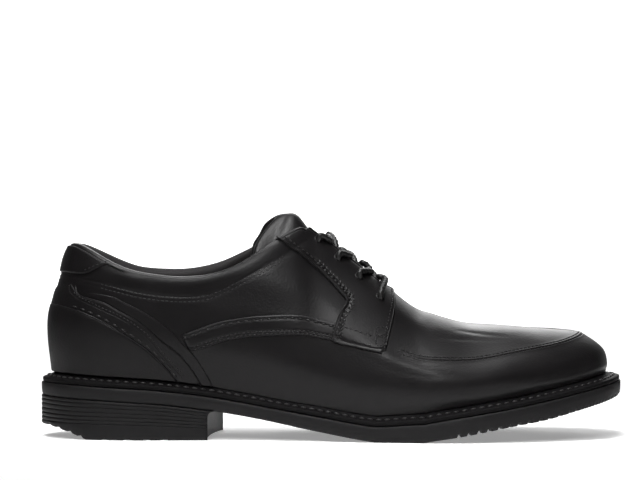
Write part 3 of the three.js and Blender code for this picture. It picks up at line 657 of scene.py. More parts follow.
def frames_along(points):
    """Tangent and two cross directions at each point of a path, without twist."""
    tangents = []
    for i in range(len(points)):
        tangents.append((points[min(i + 1, len(points) - 1)] - points[max(i - 1, 0)]).normalized())
    side = tangents[0].orthogonal().normalized()
    frames = []
    for tangent in tangents:
        side = (side - tangent * side.dot(tangent)).normalized()
        frames.append((tangent, side, tangent.cross(side)))
    return frames


def smooth_path(points, spacing):
    """Points evenly spaced on a smooth curve through the given points."""
    reach = reach_along(points, 1e-4)
    axes = [curve_through(reach, [p[k] for p in points]) for k in range(3)]
    count = max(2, round(reach[-1] / spacing))
    return [Vector([axis(reach[-1] * i / count) for axis in axes]) for i in range(count + 1)]


def add_tube(bm, points, radius, sides=10, radius_at=None):
    """Tube round a path with closed, rounded ends, and length and turn in its UV map."""
    frames = frames_along(points)
    reach = reach_along(points)
    last = len(points) - 1

    def place(i, j):
        index = clamp(i - 1, 0, last)
        tangent, side, other = frames[index]
        angle = 2 * math.pi * (j % sides) / sides
        size = radius_at(reach[index], angle) if radius_at else radius
        if i in (0, last + 2):
            return points[index] + tangent * (radius * 0.5 if i else -radius * 0.5)
        return points[index] + (side * math.cos(angle) + other * math.sin(angle)) * size

    def uv(i, j):
        index = clamp(i - 1, 0, last)
        return reach[index] * MM * 100, j / sides

    return moved_grid(bm, last + 2, sides, place, uv, closed=True, flip=True)


def add_stitches(bm, path, pitch, length, width, height, sink=0.35, slant=0):
    """Row of small rounded stitches along a path of (point, out) pairs; slant turns each from the row."""
    height *= bpy.context.scene.shoe_sizes.stitch_height / MM / 0.6
    reach = reach_along([point for point, _ in path])
    count = int(reach[-1] / pitch)
    index = 0
    for n in range(count):
        at = (n + 0.5) * reach[-1] / max(1, count)
        while index < len(path) - 2 and reach[index + 1] < at:
            index += 1
        k = (at - reach[index]) / max(1e-6, reach[index + 1] - reach[index])
        point = path[index][0].lerp(path[index + 1][0], k)
        out = path[index][1].lerp(path[index + 1][1], k).normalized()
        tangent = (path[index + 1][0] - path[index][0]).normalized()
        side = tangent.cross(out).normalized()
        out = side.cross(tangent)
        tangent, side = (tangent * math.cos(slant) + side * math.sin(slant),
                         side * math.cos(slant) - tangent * math.sin(slant))
        basis = Matrix((tangent * length / 2, side * width / 2, out * height / 2)).transposed().to_4x4()
        place = Matrix.Translation(placed(point + out * height * (0.5 - sink))) @ Matrix.Scale(MM, 4) @ basis
        made = bmesh.ops.create_icosphere(bm, subdivisions=1, radius=1, matrix=place)
        for vert in made["verts"]:
            for face in vert.link_faces:
                face.smooth = True


def edge_rows(seams):
    """Distances from an edge that its fold and its pressed seams need."""
    wanted = [0, 0.12, 0.3, 0.55, 0.85, 1.25]
    for at, half, _ in seams:
        wanted += [at - half, at - half / 2, at, at + half / 2, at + half]
    rows = []
    for distance in sorted(wanted):
        if not rows or distance - rows[-1] > 0.09:
            rows.append(distance)
    return rows


def edge_offsets(width, inner, low_rows, high_rows):
    """Positions across a strip in millimetres, close together at both edges."""
    fit = min(1, width / (low_rows[-1] + high_rows[-1] + 1.0))
    near = [row * fit for row in low_rows]
    far = [width - row * fit for row in reversed(high_rows)]
    rest = [mix(near[-1], far[0], (i + 1) / (inner + 1)) for i in range(inner)]
    return near + rest + far


def pressed(distance, seams):
    """Depth of the pressed seams at a distance from their edge."""
    return sum(depth * bump(distance - at, half * 0.6) for at, half, depth in seams)


def rounded(distance, radius=0.85):
    """Rise of a folded edge, from 0 at the edge to 1 inside it."""
    k = clamp(distance / radius, 0, 1)
    return math.sqrt(max(0, 1 - (1 - k) ** 2))


def add_patch(bm, lower, upper, thickness, ends=(True, True), low_seams=(), high_seams=(), thin=None):
    """Overlay between two lines of (turn, level); its folded edges sink under the leather.

    Seams are (distance from the edge, half width, depth).
    thin gives the share of the thickness at a point.
    """
    count = len(lower) - 1
    widths = []
    for a, b in zip(lower, upper):
        widths.append(max(0.5, (skin(*a) - skin(*b)).length))
    inner = max(3, min(24, round(max(widths) / 3)))
    low_rows = edge_rows(low_seams)
    high_rows = edge_rows(high_seams)
    rows = len(low_rows) + len(high_rows) + inner - 1
    reach = reach_along([(skin(*a) + skin(*b)) / 2 for a, b in zip(lower, upper)])

    def place(i, j):
        column_at = clamp(i - 1, 0, count)
        row_at = clamp(j - 1, 0, rows)
        width = widths[column_at]
        share = edge_offsets(width, inner, low_rows, high_rows)[row_at] / width
        turn = mix(lower[column_at][0], upper[column_at][0], share)
        level = mix(lower[column_at][1], upper[column_at][1], share)
        rise = rounded(min(share, 1 - share) * width)
        if ends[0]:
            rise = min(rise, rounded(reach[column_at]))
        if ends[1]:
            rise = min(rise, rounded(reach[-1] - reach[column_at]))
        point, out = leather_point(turn, level, SEAM_SCALE)
        if (j in (0, rows + 2)) or (i == 0 and ends[0]) or (i == count + 2 and ends[1]):
            return point - out * 0.7
        full = thin(point) if thin else 1
        seam = pressed(share * width, low_seams) + pressed((1 - share) * width, high_seams)
        return point + out * (mix(-0.15, 0.1, full) + full * (thickness * rise - seam))

    return moved_grid(bm, count + 2, rows + 2, place)


SEAM_SCALE = 65  # millimetres over the leather for a level of 1, beside the vamp


def resampled(places, count):
    """The same line of (turn, level) with evenly spaced places."""
    reach = reach_along([skin(*place) for place in places], 1e-3)
    even = []
    index = 0
    for n in range(count):
        at = reach[-1] * n / (count - 1)
        while index < len(places) - 2 and reach[index + 1] < at:
            index += 1
        k = clamp((at - reach[index]) / (reach[index + 1] - reach[index]), 0, 1)
        (turn, level), (next_turn, next_level) = places[index], places[index + 1]
        even.append((mix(turn, next_turn, k), mix(level, next_level, k)))
    return even


def line_on_skin(points, side):
    """Turns and levels of a line of the side view."""
    return [on_skin(x, z, side) for x, z in points]


def path_on_skin(places, lift):
    """Points and outward directions over the leather along places of (turn, level)."""
    path = []
    for turn, level in places:
        point, out = leather_point(turn, level, SEAM_SCALE)
        path.append((point + out * lift, out))
    return path


def inset_line(places, distance):
    """Line of (turn, level) moved sideways over the leather by millimetres; up the level is positive."""
    moved = []
    step = 2e-3
    for i, (turn, level) in enumerate(places):
        a = skin(*places[max(0, i - 1)])
        b = skin(*places[min(len(places) - 1, i + 1)])
        tangent = (b - a).normalized()
        out = outwards(turn, level)[0]
        high = min(1, level + step)
        along = (skin(turn + step, level) - skin(turn - step, level)) / (2 * step)
        rise = (skin(turn, high) - skin(turn, level - step)) / (high - level + step)
        side = out.cross(tangent).normalized() * distance
        aa, ar, rr = along.dot(along), along.dot(rise), rise.dot(rise)
        sa, sr = side.dot(along), side.dot(rise)
        det = aa * rr - ar * ar
        new_level = clamp(level + (sr * aa - sa * ar) / det, 0, 1)
        moved.append((turn + (sa * rr - sr * ar) / det, new_level))
    return moved


# Materials
def from_hex(colour):
    """Linear colour of an sRGB hex value."""
    channels = []
    for at in (1, 3, 5):
        value = int(colour[at:at + 2], 16) / 255
        channels.append(value / 12.92 if value <= 0.04045 else ((value + 0.055) / 1.055) ** 2.4)
    return (*channels, 1)


def add_node(tree, kind, settings=None, links=None):
    """Adds a node; settings go to its sockets or attributes, links join its sockets to other nodes."""
    node = tree.nodes.new(kind)
    for key, value in (settings or {}).items():
        if isinstance(key, str) and hasattr(node, key) and key not in node.inputs:
            setattr(node, key, value)
        else:
            node.inputs[key].default_value = value
    for key, source in (links or {}).items():
        tree.links.new(source, node.inputs[key])
    return node


def place_on_piece(tree):
    """Place on the piece in metres, for patterns that keep their size."""
    return add_node(tree, "ShaderNodeTexCoord").outputs["Object"]


def noise(tree, place, scale, detail=2.0):
    """Even random pattern, as a value from 0 to 1."""
    node = add_node(tree, "ShaderNodeTexNoise", {"Scale": scale, "Detail": detail}, {"Vector": place})
    return node.outputs["Fac"]


def blend(tree, share, first, second):
    """Colour between two, by a share."""
    return add_node(tree, "ShaderNodeMix", {"data_type": "RGBA", 6: first, 7: second}, {0: share}).outputs[2]


def relief(tree, height, strength, distance, under=None):
    """Fine relief of a surface, on top of another one if there is one."""
    links = {"Height": height, "Normal": under} if under else {"Height": height}
    return add_node(tree, "ShaderNodeBump", {"Strength": strength, "Distance": distance}, links).outputs[0]


def mapped(tree, value, start, end, low, high, kind="LINEAR"):
    """Value carried over from the range start to end to the range low to high."""
    ranges = {"interpolation_type": kind, "From Min": start, "From Max": end, "To Min": low, "To Max": high}
    return add_node(tree, "ShaderNodeMapRange", ranges, {"Value": value}).outputs[0]


def worked_out(tree, operation, *values):
    """Result of a sum with sockets and numbers."""
    settings = {"operation": operation}
    links = {}
    for place, value in enumerate(values):
        (settings if isinstance(value, float) else links)[place] = value
    return add_node(tree, "ShaderNodeMath", settings, links).outputs[0]


def new_material(name):
    """Material with an empty node tree."""
    material = bpy.data.materials.new(name)
    material.use_nodes = True
    material.node_tree.nodes.clear()
    return material, material.node_tree


def finish_material(tree, settings, links):
    """Adds the shader and the output."""
    shader = add_node(tree, "ShaderNodeBsdfPrincipled", settings, links)
    add_node(tree, "ShaderNodeOutputMaterial", None, {"Surface": shader.outputs[0]})


def calf_leather(name, colour, worn, rough, coat, grain):
    """Smooth full grain calf, dyed through and waxed: pores, faint creasing and a soft broad gloss."""
    material, tree = new_material(name)
    place = place_on_piece(tree)
    pores = add_node(tree, "ShaderNodeTexVoronoi", {"Scale": 1 / 0.0011, "feature": "F1"}, {"Vector": place})
    fine = noise(tree, place, 1 / 0.0016, 4.0)
    broad = noise(tree, place, 1 / 0.028, 3.0)
    skin_relief = relief(tree, fine, 0.5, grain)
    gloss = {"IOR": 1.45, "Specular IOR Level": 0.2, "Coat Weight": coat, "Coat Roughness": 0.28}
    finish_material(tree, gloss,
                    {"Base Color": blend(tree, broad, (*colour, 1), (*worn, 1)),
                     "Roughness": mapped(tree, broad, 0.3, 0.7, rough - 0.05, rough + 0.07),
                     "Normal": relief(tree, pores.outputs["Distance"], 0.35, grain, skin_relief)})
    return material


def lining_cloth(name, colour):
    """Brushed textile lining: matt, with a close even weave."""
    material, tree = new_material(name)
    weave = noise(tree, place_on_piece(tree), 1 / 0.0009)
    finish_material(tree, {"Roughness": 0.85, "Sheen Weight": 0.25, "Sheen Roughness": 0.5},
                    {"Base Color": blend(tree, weave, (*colour, 1), from_hex("#2b2829")),
                     "Normal": relief(tree, weave, 0.5, 0.0004)})
    return material


def waxed_cord(name, colour):
    """Waxed cotton cord, plaited round a core: slanting strands with a low shine, and painted shade between
    them.
    """
    material, tree = new_material(name)
    along = add_node(tree, "ShaderNodeUVMap", {"uv_map": "UVMap"}).outputs[0]
    slant = {"Rotation": (0, 0, 0.9), "Scale": (6.0, 3.0, 1.0)}
    turned = add_node(tree, "ShaderNodeMapping", slant, {"Vector": along}).outputs[0]
    wave = add_node(tree, "ShaderNodeTexWave", {"Scale": 1.6, "Distortion": 0.4}, {"Vector": turned})
    strands = wave.outputs["Fac"]
    finish_material(tree, {"Roughness": 0.48, "Coat Weight": 0.12, "Coat Roughness": 0.4},
                    # Painted shade: the low parts of the plait, between the raised strands, are coloured
                    # near black
                    {"Base Color": blend(tree, strands, from_hex("#0d0c0c"), (*colour, 1)),
                     "Normal": relief(tree, strands, 0.7, 0.0004)})
    return material


def sewing_thread(name, colour):
    """Bonded polyester thread: tight twist with a small highlight on every stitch."""
    material, tree = new_material(name)
    fibres = noise(tree, place_on_piece(tree), 1 / 0.0008)
    finish_material(tree, {"Roughness": 0.42},
                    {"Base Color": blend(tree, fibres, (*colour, 1), from_hex("#0c0b0b"))})
    return material


def moulded_rubber(name, colour, rough, gloss):
    """Moulded rubber compound: even and matt with a fine sandblasted tooth and faint scuffs."""
    material, tree = new_material(name)
    place = place_on_piece(tree)
    tooth = noise(tree, place, 1 / 0.0012, 3.0)
    scuffs = noise(tree, place, 1 / 0.02, 5.0)
    finish_material(tree, {"IOR": 1.5, "Specular IOR Level": gloss},
                    {"Base Color": blend(tree, scuffs, (*colour, 1), from_hex("#181718")),
                     "Roughness": mapped(tree, scuffs, 0.3, 0.7, rough - 0.06, rough + 0.08),
                     "Normal": relief(tree, tooth, 0.4, 0.0003)})
    return material


def paper_with_painted_glow(name, colour):
    """Seamless studio paper: flat white with no visible texture, glowing with painted light."""
    material, tree = new_material(name)
    place = place_on_piece(tree)
    tone = blend(tree, noise(tree, place, 40.0), (*colour, 1), from_hex("#fdfdfd"))
    # Painted light: the paper itself glows as a pool under and behind the shoe, dark at the sides and in
    # front
    parts = add_node(tree, "ShaderNodeSeparateXYZ", None, {0: place})
    ahead = parts.outputs["Y"]
    near = mapped(tree, ahead, -0.42, -0.26, 0.0, 0.29, "SMOOTHSTEP")
    far = mapped(tree, ahead, 0.1, 0.7, 0.0, 0.75, "SMOOTHSTEP")
    reach = worked_out(tree, "MULTIPLY_ADD", ahead, 0.15, 0.22)
    aside = worked_out(tree, "ABSOLUTE", parts.outputs["X"])
    inside = mapped(tree, worked_out(tree, "SUBTRACT", aside, reach), 0.0, 0.1, 1.0, 0.03, "SMOOTHSTEP")
    glow = worked_out(tree, "MULTIPLY", worked_out(tree, "ADD", near, far), inside)
    # The glow is emission from the paper, painted light rather than a lamp
    finish_material(tree, {"Roughness": 0.9, "Emission Color": (1, 1, 1, 1)},
                    {"Base Color": tone, "Emission Strength": glow})
    return material


FINISHES = {}


def finish_named(name):
    """Finish of a piece, made the first time that it is asked for."""
    if name not in FINISHES:
        colours = bpy.context.scene.shoe_colours
        black, worn = tuple(colours.leather), tuple(colours.leather_worn)
        edge, rubber = tuple(colours.edge), tuple(colours.sole)
        # Painted shade: the welt's rubber is the sole's rubber darkened to 0.6, for the shade on the welt's
        # slope
        rubber_painted_shade = tuple(0.6 * part for part in rubber)
        makers = {
            "black_calf_upper": lambda: calf_leather(name, black, worn, 0.4, 0.1, 0.00016),
            "black_calf_overlay": lambda: calf_leather(name, black, worn, 0.42, 0.08, 0.00016),
            # Painted highlight: the edge leather is a lighter grey than the upper, standing in for light
            # caught on the pressed edges
            "edge_leather_painted_highlight": lambda: calf_leather(name, edge, edge, 0.35, 0.2, 0.0001),
            "collar_lining": lambda: lining_cloth(name, tuple(colours.lining)),
            "waxed_lace": lambda: waxed_cord(name, tuple(colours.lace)),
            "seam_thread": lambda: sewing_thread(name, tuple(colours.thread)),
            "welt_thread": lambda: sewing_thread(name, tuple(colours.welt_thread)),
            "sole_rubber_matt": lambda: moulded_rubber(name, rubber, 0.55, 0.22),
            "welt_rubber_painted_shade": lambda: moulded_rubber(name, rubber_painted_shade, 0.62, 0.06),
            "studio_paper_painted_glow": lambda: paper_with_painted_glow(name, from_hex("#fafafa")[:3]),
        }
        FINISHES[name] = makers[name]()
    return FINISHES[name]


# Pieces
def turn_list():
    """Turns of the upper's columns, closer together at the throat front and the toe."""
    def density(share_turn):
        return 1 + 1.2 * bump(share_turn - 0.6, 0.06) + 0.8 * smooth(0.7, 0.9, share_turn)

    half = 150
    steps = 1200
    total = [0]
    for i in range(steps):
        total.append(total[-1] + density((i + 0.5) / steps))
    side = []
    index = 0
    for n in range(half + 1):
        target = total[-1] * n / half
        while index < steps - 1 and total[index + 1] < target:
            index += 1
        side.append((index + (target - total[index]) / (total[index + 1] - total[index])) / steps)
    side[0] = 0
    side[-1] = 1
    return [-t for t in reversed(side[1:])] + side


def outer_shares():
    """Shares of the way up the outer face, close together at the apron seam."""
    plain = [i / 84 for i in range(85)]
    near = [SEAM_LEVEL + (i - 16) * 0.0036 for i in range(33)]
    return sorted([s for s in plain if not near[0] - 0.008 < s < near[-1] + 0.008] + near)


def build_upper():
    """Leather shell with its rolled edge and lining."""
    bm = bmesh.new()
    turns = turn_list()
    tops = [top_level(t) for t in turns]
    tops[-1] = tops[0] = 1
    shares = outer_shares()
    outer_rows = len(shares)
    roll_rows = 7
    inner_rows = 30
    rows = outer_rows + roll_rows + inner_rows
    wide = {}
    edges = {}

    def level_of(share, top):
        """The seam rows keep their level where the top lies above them."""
        keep = 0.7
        held = share if share <= keep else mix(keep, top, (share - keep) / (1 - keep))
        return mix(share * top, held, smooth(0.8, 0.93, top))

    for i, turn in enumerate(turns):
        wide[i] = (skin(turn, SEAM_LEVEL + 0.05) - skin(turn, SEAM_LEVEL - 0.05)).length / 0.1
        point, out = leather_point(turn, tops[i], wide[i])
        up = outwards(turn, tops[i])[1]
        depth = pad_depth(skin(turn, tops[i]))
        edges[i] = (point, out, up, depth)

    def place(i, j):
        turn, top = turns[i], tops[i]
        if j < outer_rows:
            return leather_point(turn, level_of(shares[j], top), wide[i])[0]
        point, out, up, depth = edges[i]
        if j < outer_rows + roll_rows:
            angle = math.pi * (j - outer_rows + 1) / (roll_rows + 1)
            radius = depth / 2
            if top == 1:
                return point - out * depth * (j - outer_rows + 1) / (roll_rows + 1)
            return point - out * radius + (out * math.cos(angle) + up * math.sin(angle)) * radius
        share = 1 - (j - outer_rows - roll_rows) / inner_rows
        level = max(0.004, top * share)
        outer = skin(turn, level)
        deep = pad_depth(outer)
        k = smooth(0, 0.08, 1 - share)
        return outer + outwards(turn, level)[0] * -mix(depth if top < 1 else WALL, deep, k)

    points = moved_grid(bm, len(turns) - 1, rows, place)
    # The lining starts in the roll; where the vamp is closed the roll between the faces goes
    places = {vert: key for key, vert in points.items()}
    gone = []
    for face in bm.faces:
        keys = [places[vert] for vert in face.verts]
        if all(j >= outer_rows + 3 for _, j in keys):
            face.material_index = 1
        if all(tops[i] == 1 and outer_rows - 1 <= j <= outer_rows + roll_rows for i, j in keys):
            gone.append(face)
    bmesh.ops.delete(bm, geom=gone, context="FACES_ONLY")
    loose = [vert for vert in bm.verts if not vert.link_faces]
    bmesh.ops.delete(bm, geom=loose, context="VERTS")
    materials = [finish_named("black_calf_upper"), finish_named("collar_lining")]
    finish_piece(bm, "upper_leather_shell", materials, ["upper"], 2e-5)


SIDES = (("lateral", -1), ("medial", 1))
# Turn that the heel tab reaches on both sides
TAB_TURN = 0.252


def finish_overlay(bm, name, *nodes):
    """Piece of the leather that lies on the upper."""
    return finish_piece(bm, name, [finish_named("black_calf_overlay")], nodes)


def heel_line(rows, count, far):
    """Line of (turn, level) round the heel at a side view edge, as far as a turn on both sides."""
    height = edge_height(rows)
    turns = [far * i / count for i in range(-count, count + 1)]
    return [(turn, level_under(turn, height)) for turn in turns]


def reach_turn(rows):
    """Turn where a side view edge comes down to the feather line."""
    height = edge_height(rows)
    turn = 0.2
    while level_under(turn, height) > 0.012 and turn < 0.5:
        turn += 0.002
    return turn


def build_counter():
    """Counter low round the heel, with its pressed edge."""
    bm = bmesh.new()
    top = heel_line(COUNTER_EDGE, 70, reach_turn(COUNTER_EDGE))
    lower = [(turn, 0.0) for turn, _ in top]
    add_patch(bm, lower, top, OVERLAY, ends=(False, False), high_seams=[(1.2, 0.5, 0.2)])
    finish_overlay(bm, "heel_counter_leather", "heel_counter")


def build_foxing():
    """Foxing above the counter, up to the heel tab at the back."""
    bm = bmesh.new()
    far = reach_turn(FOXING_EDGE)
    lower_height = edge_height([(x, z - 0.004) for x, z in COUNTER_EDGE])
    tab_height = edge_height([(x, z + 0.006) for x, z in TAB_EDGE])
    lower = []
    upper = []
    for turn, fox in heel_line(FOXING_EDGE, 70, far):
        low = level_under(turn, lower_height)
        back = 1 - smooth(15, 23, skin(turn, fox).x)
        fox = mix(fox, max(fox, level_under(turn, tab_height)), back)
        lower.append((turn, low))
        upper.append((turn, max(fox, low + 0.002)))
    add_patch(bm, lower, upper, OVERLAY * 0.8, ends=(False, False),
              thin=lambda p: 1 - smooth(75.5, 80.5, p.z))
    finish_overlay(bm, "heel_foxing_leather", "heel_foxing")


def build_bands():
    """Thin band in front of the foxing, on both sides."""
    for name, side in SIDES:
        bm = bmesh.new()
        top = resampled(line_on_skin(side_line(BAND_EDGE, 5), side), 70)
        foot = resampled(line_on_skin(side_line(FOXING_EDGE[2:], 6), side), 70)
        add_patch(bm, foot, top, OVERLAY * 0.45, ends=(True, False), thin=lambda p: smooth(22, 40, p.x))
        finish_overlay(bm, "foxing_band_leather_" + name, "foxing_band_" + name)


def build_tab():
    """Back piece of the collar, above the foxing."""
    bm = bmesh.new()
    height = edge_height(TAB_EDGE)
    lower = []
    upper = []
    for i in range(-48, 49):
        turn = TAB_TURN * i / 48
        top = top_level(turn)
        lower.append((turn, min(level_under(turn, height), top - 0.002)))
        upper.append((turn, top))
    add_patch(bm, lower, upper, OVERLAY * 0.7, ends=(True, True))
    finish_overlay(bm, "heel_tab_leather", "heel_tab")


def build_straps():
    """Side straps from the foxing to the eyestays."""
    for name, side in SIDES:
        bm = bmesh.new()
        top = resampled(line_on_skin(side_line(STRAP_TOP, 8), side), 50)
        foot = resampled(line_on_skin(side_line(STRAP_FOOT, 8), side), 50)
        add_patch(bm, foot, top, OVERLAY * 0.8, ends=(True, False),
                  low_seams=[(1.0, 0.45, 0.25), (2.4, 0.45, 0.3)], high_seams=[(2.0, 0.6, 0.3)])
        finish_overlay(bm, "side_strap_leather_" + name, "side_strap_" + name)


def eyestay_lines(side):
    """Back and front edges of an eyestay, both from the vamp up to the collar."""
    back = line_on_skin(side_line(EYESTAY_BACK, 7), side)
    front = line_on_skin(side_line(EYESTAY_FRONT, 5), side)
    start_turn, start_level = front[-1]
    end_turn = back[-1][0]
    throat = []
    steps = 46
    for i in range(1, steps + 1):
        k = i / steps
        turn = mix(start_turn, end_turn, k)
        top = top_level(turn)
        level = mix(start_level, top, smooth(0, 0.08, k)) if k < 0.08 else top
        throat.append((turn, min(level, top)))
    return back, front + throat


def build_eyestays():
    """Facings of the lacing, with a rolled back edge."""
    for name, side in SIDES:
        bm = bmesh.new()
        back, front = eyestay_lines(side)
        add_patch(bm, resampled(back, 110), resampled(front, 110), OVERLAY, ends=(True, True),
                  low_seams=[(3.2, 1.3, 0.45)], high_seams=[(2.3, 0.5, 0.25)])
        finish_overlay(bm, "eyestay_leather_" + name, "eyestay_" + name)


def tongue_place(across, share, lift):
    """Point of the tongue: across from -1 to 1, share of the spine, lift from the leather."""
    half = mix(26, 17, smooth(0.45, 0.75, share))
    turn = turn_at(share) * (-1 if across < 0 else 1)
    target = abs(across) * half
    level = halved(0.5, 1, 13, lambda at: abs(skin(turn, at).y) > target)[1] if target > 0 else 1
    lean = smooth(0.46, 0.37, share) * (1 - abs(across) ** 3)
    return lifted(turn, level, lift) - Vector((0, 0, 11.5 * lean))


def build_tongue():
    """Tongue with a padded face, a rolled back edge and a cloth lining."""
    bm = bmesh.new()
    near_edge = column([(z * INSTEP_HEIGHT, x * LENGTH) for x, z in TONGUE_LATERAL], 1)
    far_edge = column([(z * INSTEP_HEIGHT, x * LENGTH) for x, z in TONGUE_MEDIAL], 1)
    front_share = 0.72
    top = -WALL - 1.5 * GAP
    across_count = 40
    along_count = 56
    roll = 8
    padding = bpy.context.scene.shoe_sizes.tongue_padding / MM

    def behind(across, share):
        """Whether a place lies behind the cut edge of the tongue."""
        p = tongue_place(across, share, -WALL - 0.5)
        return p.x <= mix(near_edge(p.z), far_edge(p.z), smooth(-0.12, 0.3, across))

    rows = [2 * i / across_count - 1 for i in range(across_count + 1)]
    ends = [halved(0.2, front_share, 14, lambda share, row=row: behind(row, share))[1] for row in rows]

    def place(i, j):
        across = rows[i]
        if j <= along_count:
            share = mix(front_share, ends[i], j / along_count)
            lace_bed = smooth(0.415, 0.49, share) * (1 - smooth(0.63, 0.66, share))
            puff = padding * (1 - across * across) * (1 - lace_bed)
            piping = 0.5 * bump((j / along_count - 1) * 30, 1.4)
            groove = -0.3 * bump((j / along_count - 0.93) * 30, 0.7)
            bed = 2.6 * lace_bed * (1 - abs(across) ** 3)
            return tongue_place(across, share, top + puff + piping + groove - bed)
        share = ends[i]
        if j <= along_count + roll:
            angle = math.pi * (j - along_count) / (roll + 1)
            first = tongue_place(across, share, top + 0.5 + padding * (1 - across * across))
            second = tongue_place(across, share, top - TONGUE_THICKNESS)
            ahead = tongue_place(across, share + 0.01, top)
            back = (tongue_place(across, share, top) - ahead).normalized()
            middle = (first + second) / 2
            return middle + (first - second) / 2 * math.cos(angle) + back * 2.1 * math.sin(angle)
        k = (j - along_count - roll) / along_count
        return tongue_place(across, mix(share, front_share, min(1, k)), top - TONGUE_THICKNESS)

    points = moved_grid(bm, across_count, 2 * along_count + roll, place)
    for (i, j), vert in points.items():
        if j > along_count + roll - 1:
            for face in vert.link_faces:
                face.material_index = 1
    materials = [finish_named("black_calf_upper"), finish_named("collar_lining")]
    piece = finish_piece(bm, "tongue_leather", materials, ["tongue"])


def eyelet_place(row, side, lift, along=0):
    """Point over an eyelet, moved along the leather by a level."""
    x, z = EYELETS[row]
    turn, level = on_skin(x * LENGTH, z * INSTEP_HEIGHT, side)
    return lifted(turn, min(1, level + along), lift)


def lace_radius():
    """Half the thickness of the lace."""
    return bpy.context.scene.shoe_sizes.lace_thickness / MM / 2


def facing_edge(x, side):
    """Point of the leather at the throat's edge, at x."""
    turn, level = on_skin(x, ridge(x) - 12, side)
    for _ in range(4):
        turn = clamp(turn + side * (x - skin(turn, level).x) / (LENGTH * 1.5), -0.999, 0.999)
        level = top_level(turn)
    return skin(turn, level), outwards(turn, level)[0]


def lace_path(start_side):
    """Half of the lace, from the middle of the lowest bar up to the top eyelet."""
    radius = lace_radius()
    seat = GAP + OVERLAY + radius
    side = start_side
    row = len(EYELETS) - 1
    # The bar lies low over the tongue and bends over the edge of the facing
    x = EYELETS[row][0] * LENGTH
    edge, out = facing_edge(x + 1.5, side)
    middle, beside = Vector((x, 0, ridge(x) + 0.3)), Vector((x + 0.4, side * 6, ridge(x) + 0.8))
    points = [middle, beside, edge + out * 3.5]
    while True:
        # Down through the eyelet to the inside of the facing
        points.append(eyelet_place(row, side, seat + (0.5 if side > 0 else 0.05), 0.012))
        points.append(eyelet_place(row, side, 0.4, -0.004))
        if row == 0:
            points.append(eyelet_place(row, side, -WALL - 1.6, 0.0))
            points.append(eyelet_place(row, side, -WALL - 2.6, 0.03))
            return points
        points.append(eyelet_place(row, side, -WALL - radius, 0.01))
        here = EYELETS[row][0] * LENGTH
        there = EYELETS[row - 1][0] * LENGTH
        # The strand that ends in the outer facing passes under the one that ends in the inner facing
        low = -1.3 if side > 0 else 1.3
        under, out = facing_edge(here + 1.2, side)
        points.append(under - out * (WALL + 1.2))
        points.append(Vector((there + 9.6, side * 5.5, ridge(there + 9.6) - 2.6 + low * 0.6)))
        points.append(Vector((there + 8, 0, ridge(there + 8) - 0.8 + low)))
        points.append(Vector((there + 5.8, -side * 6.5, ridge(there + 5.8) - 0.8 + low * 0.5)))
        if side > 0:
            over, out = facing_edge(there + 6, -1)
            points.append(over + out * 1.8)
        else:
            over, out = facing_edge(there + 4.5, 1)
            points.append(over + out * 3.5)
            over, out = facing_edge(there + 0.8, 1)
            points.append(over + out * 3.9)
        row -= 1
        side = -side


def build_laces():
    """One plaited cord from the top eyelet of one facing to the top eyelet of the other."""
    bm = bmesh.new()
    radius = lace_radius()
    path = smooth_path(list(reversed(lace_path(-1))) + lace_path(1)[1:], 0.75)

    def plait(reach, angle):
        twist = reach * 2.1
        return radius * (1 + 0.09 * math.cos(2 * angle - twist) + 0.05 * math.cos(2 * angle + twist))

    add_tube(bm, path, radius, 12, plait)
    nodes = ["lace_cross_%d" % row for row in range(1, len(EYELETS))] + ["lace_bar"]
    finish_piece(bm, "waxed_laces", [finish_named("waxed_lace")], nodes)


# Rim and bore of an eyelet: (radius, rise) in millimetres
EYELET_RING = [(2.5, -0.15), (2.25, 0.16), (1.95, 0.2), (1.7, 0.02), (1.6, -0.5), (1.6, -2.5)]
EYELET_SIDES = 20


def build_eyelets():
    """Punched holes: a pressed rim and a dark bore in both facings."""
    bm = bmesh.new()
    for side in (-1, 1):
        for row in range(len(EYELETS)):
            centre = eyelet_place(row, side, GAP + OVERLAY)
            x, z = EYELETS[row]
            out = outwards(*on_skin(x * LENGTH, z * INSTEP_HEIGHT, side))[0]
            a = out.orthogonal().normalized()
            b = out.cross(a)

            def place(i, j, centre=centre, out=out, a=a, b=b):
                angle = 2 * math.pi * (i % EYELET_SIDES) / EYELET_SIDES
                radius, rise = EYELET_RING[j]
                return centre + (a * math.cos(angle) + b * math.sin(angle)) * radius + out * rise

            moved_grid(bm, EYELET_SIDES, len(EYELET_RING) - 1, place, closed=True)
    finish_overlay(bm, "punched_eyelets")


# Cords along pressed edges: (edge, distance from it, lift, radius) in millimetres
EDGE_CORDS = (
    (BAND_EDGE[2:-1], -0.35, 0.45, 0.3),
    (FOXING_EDGE[1:-1], -0.2, 0.8, 0.3),
    (STEP_EDGE[:-1], 0, 0.95, 0.3),
)


def build_edge_cords():
    """Pressed edges over the heel, and the folded back edge of the eyestays."""
    bm = bmesh.new()
    for side in (-1, 1):
        for rows, gap, lift, radius in EDGE_CORDS:
            places = inset_line(line_on_skin(side_line(rows, 5), side), -gap * side)
            add_tube(bm, smooth_path([p for p, _ in path_on_skin(places, lift)], 1.2), radius, 8)
        back = eyestay_lines(side)[0]
        fold = inset_line(back, 0.55 * side)
        add_tube(bm, smooth_path([p for p, _ in path_on_skin(fold, OVERLAY - 0.05)], 1.2), 0.42, 8)
    finish_overlay(bm, "corded_edges")


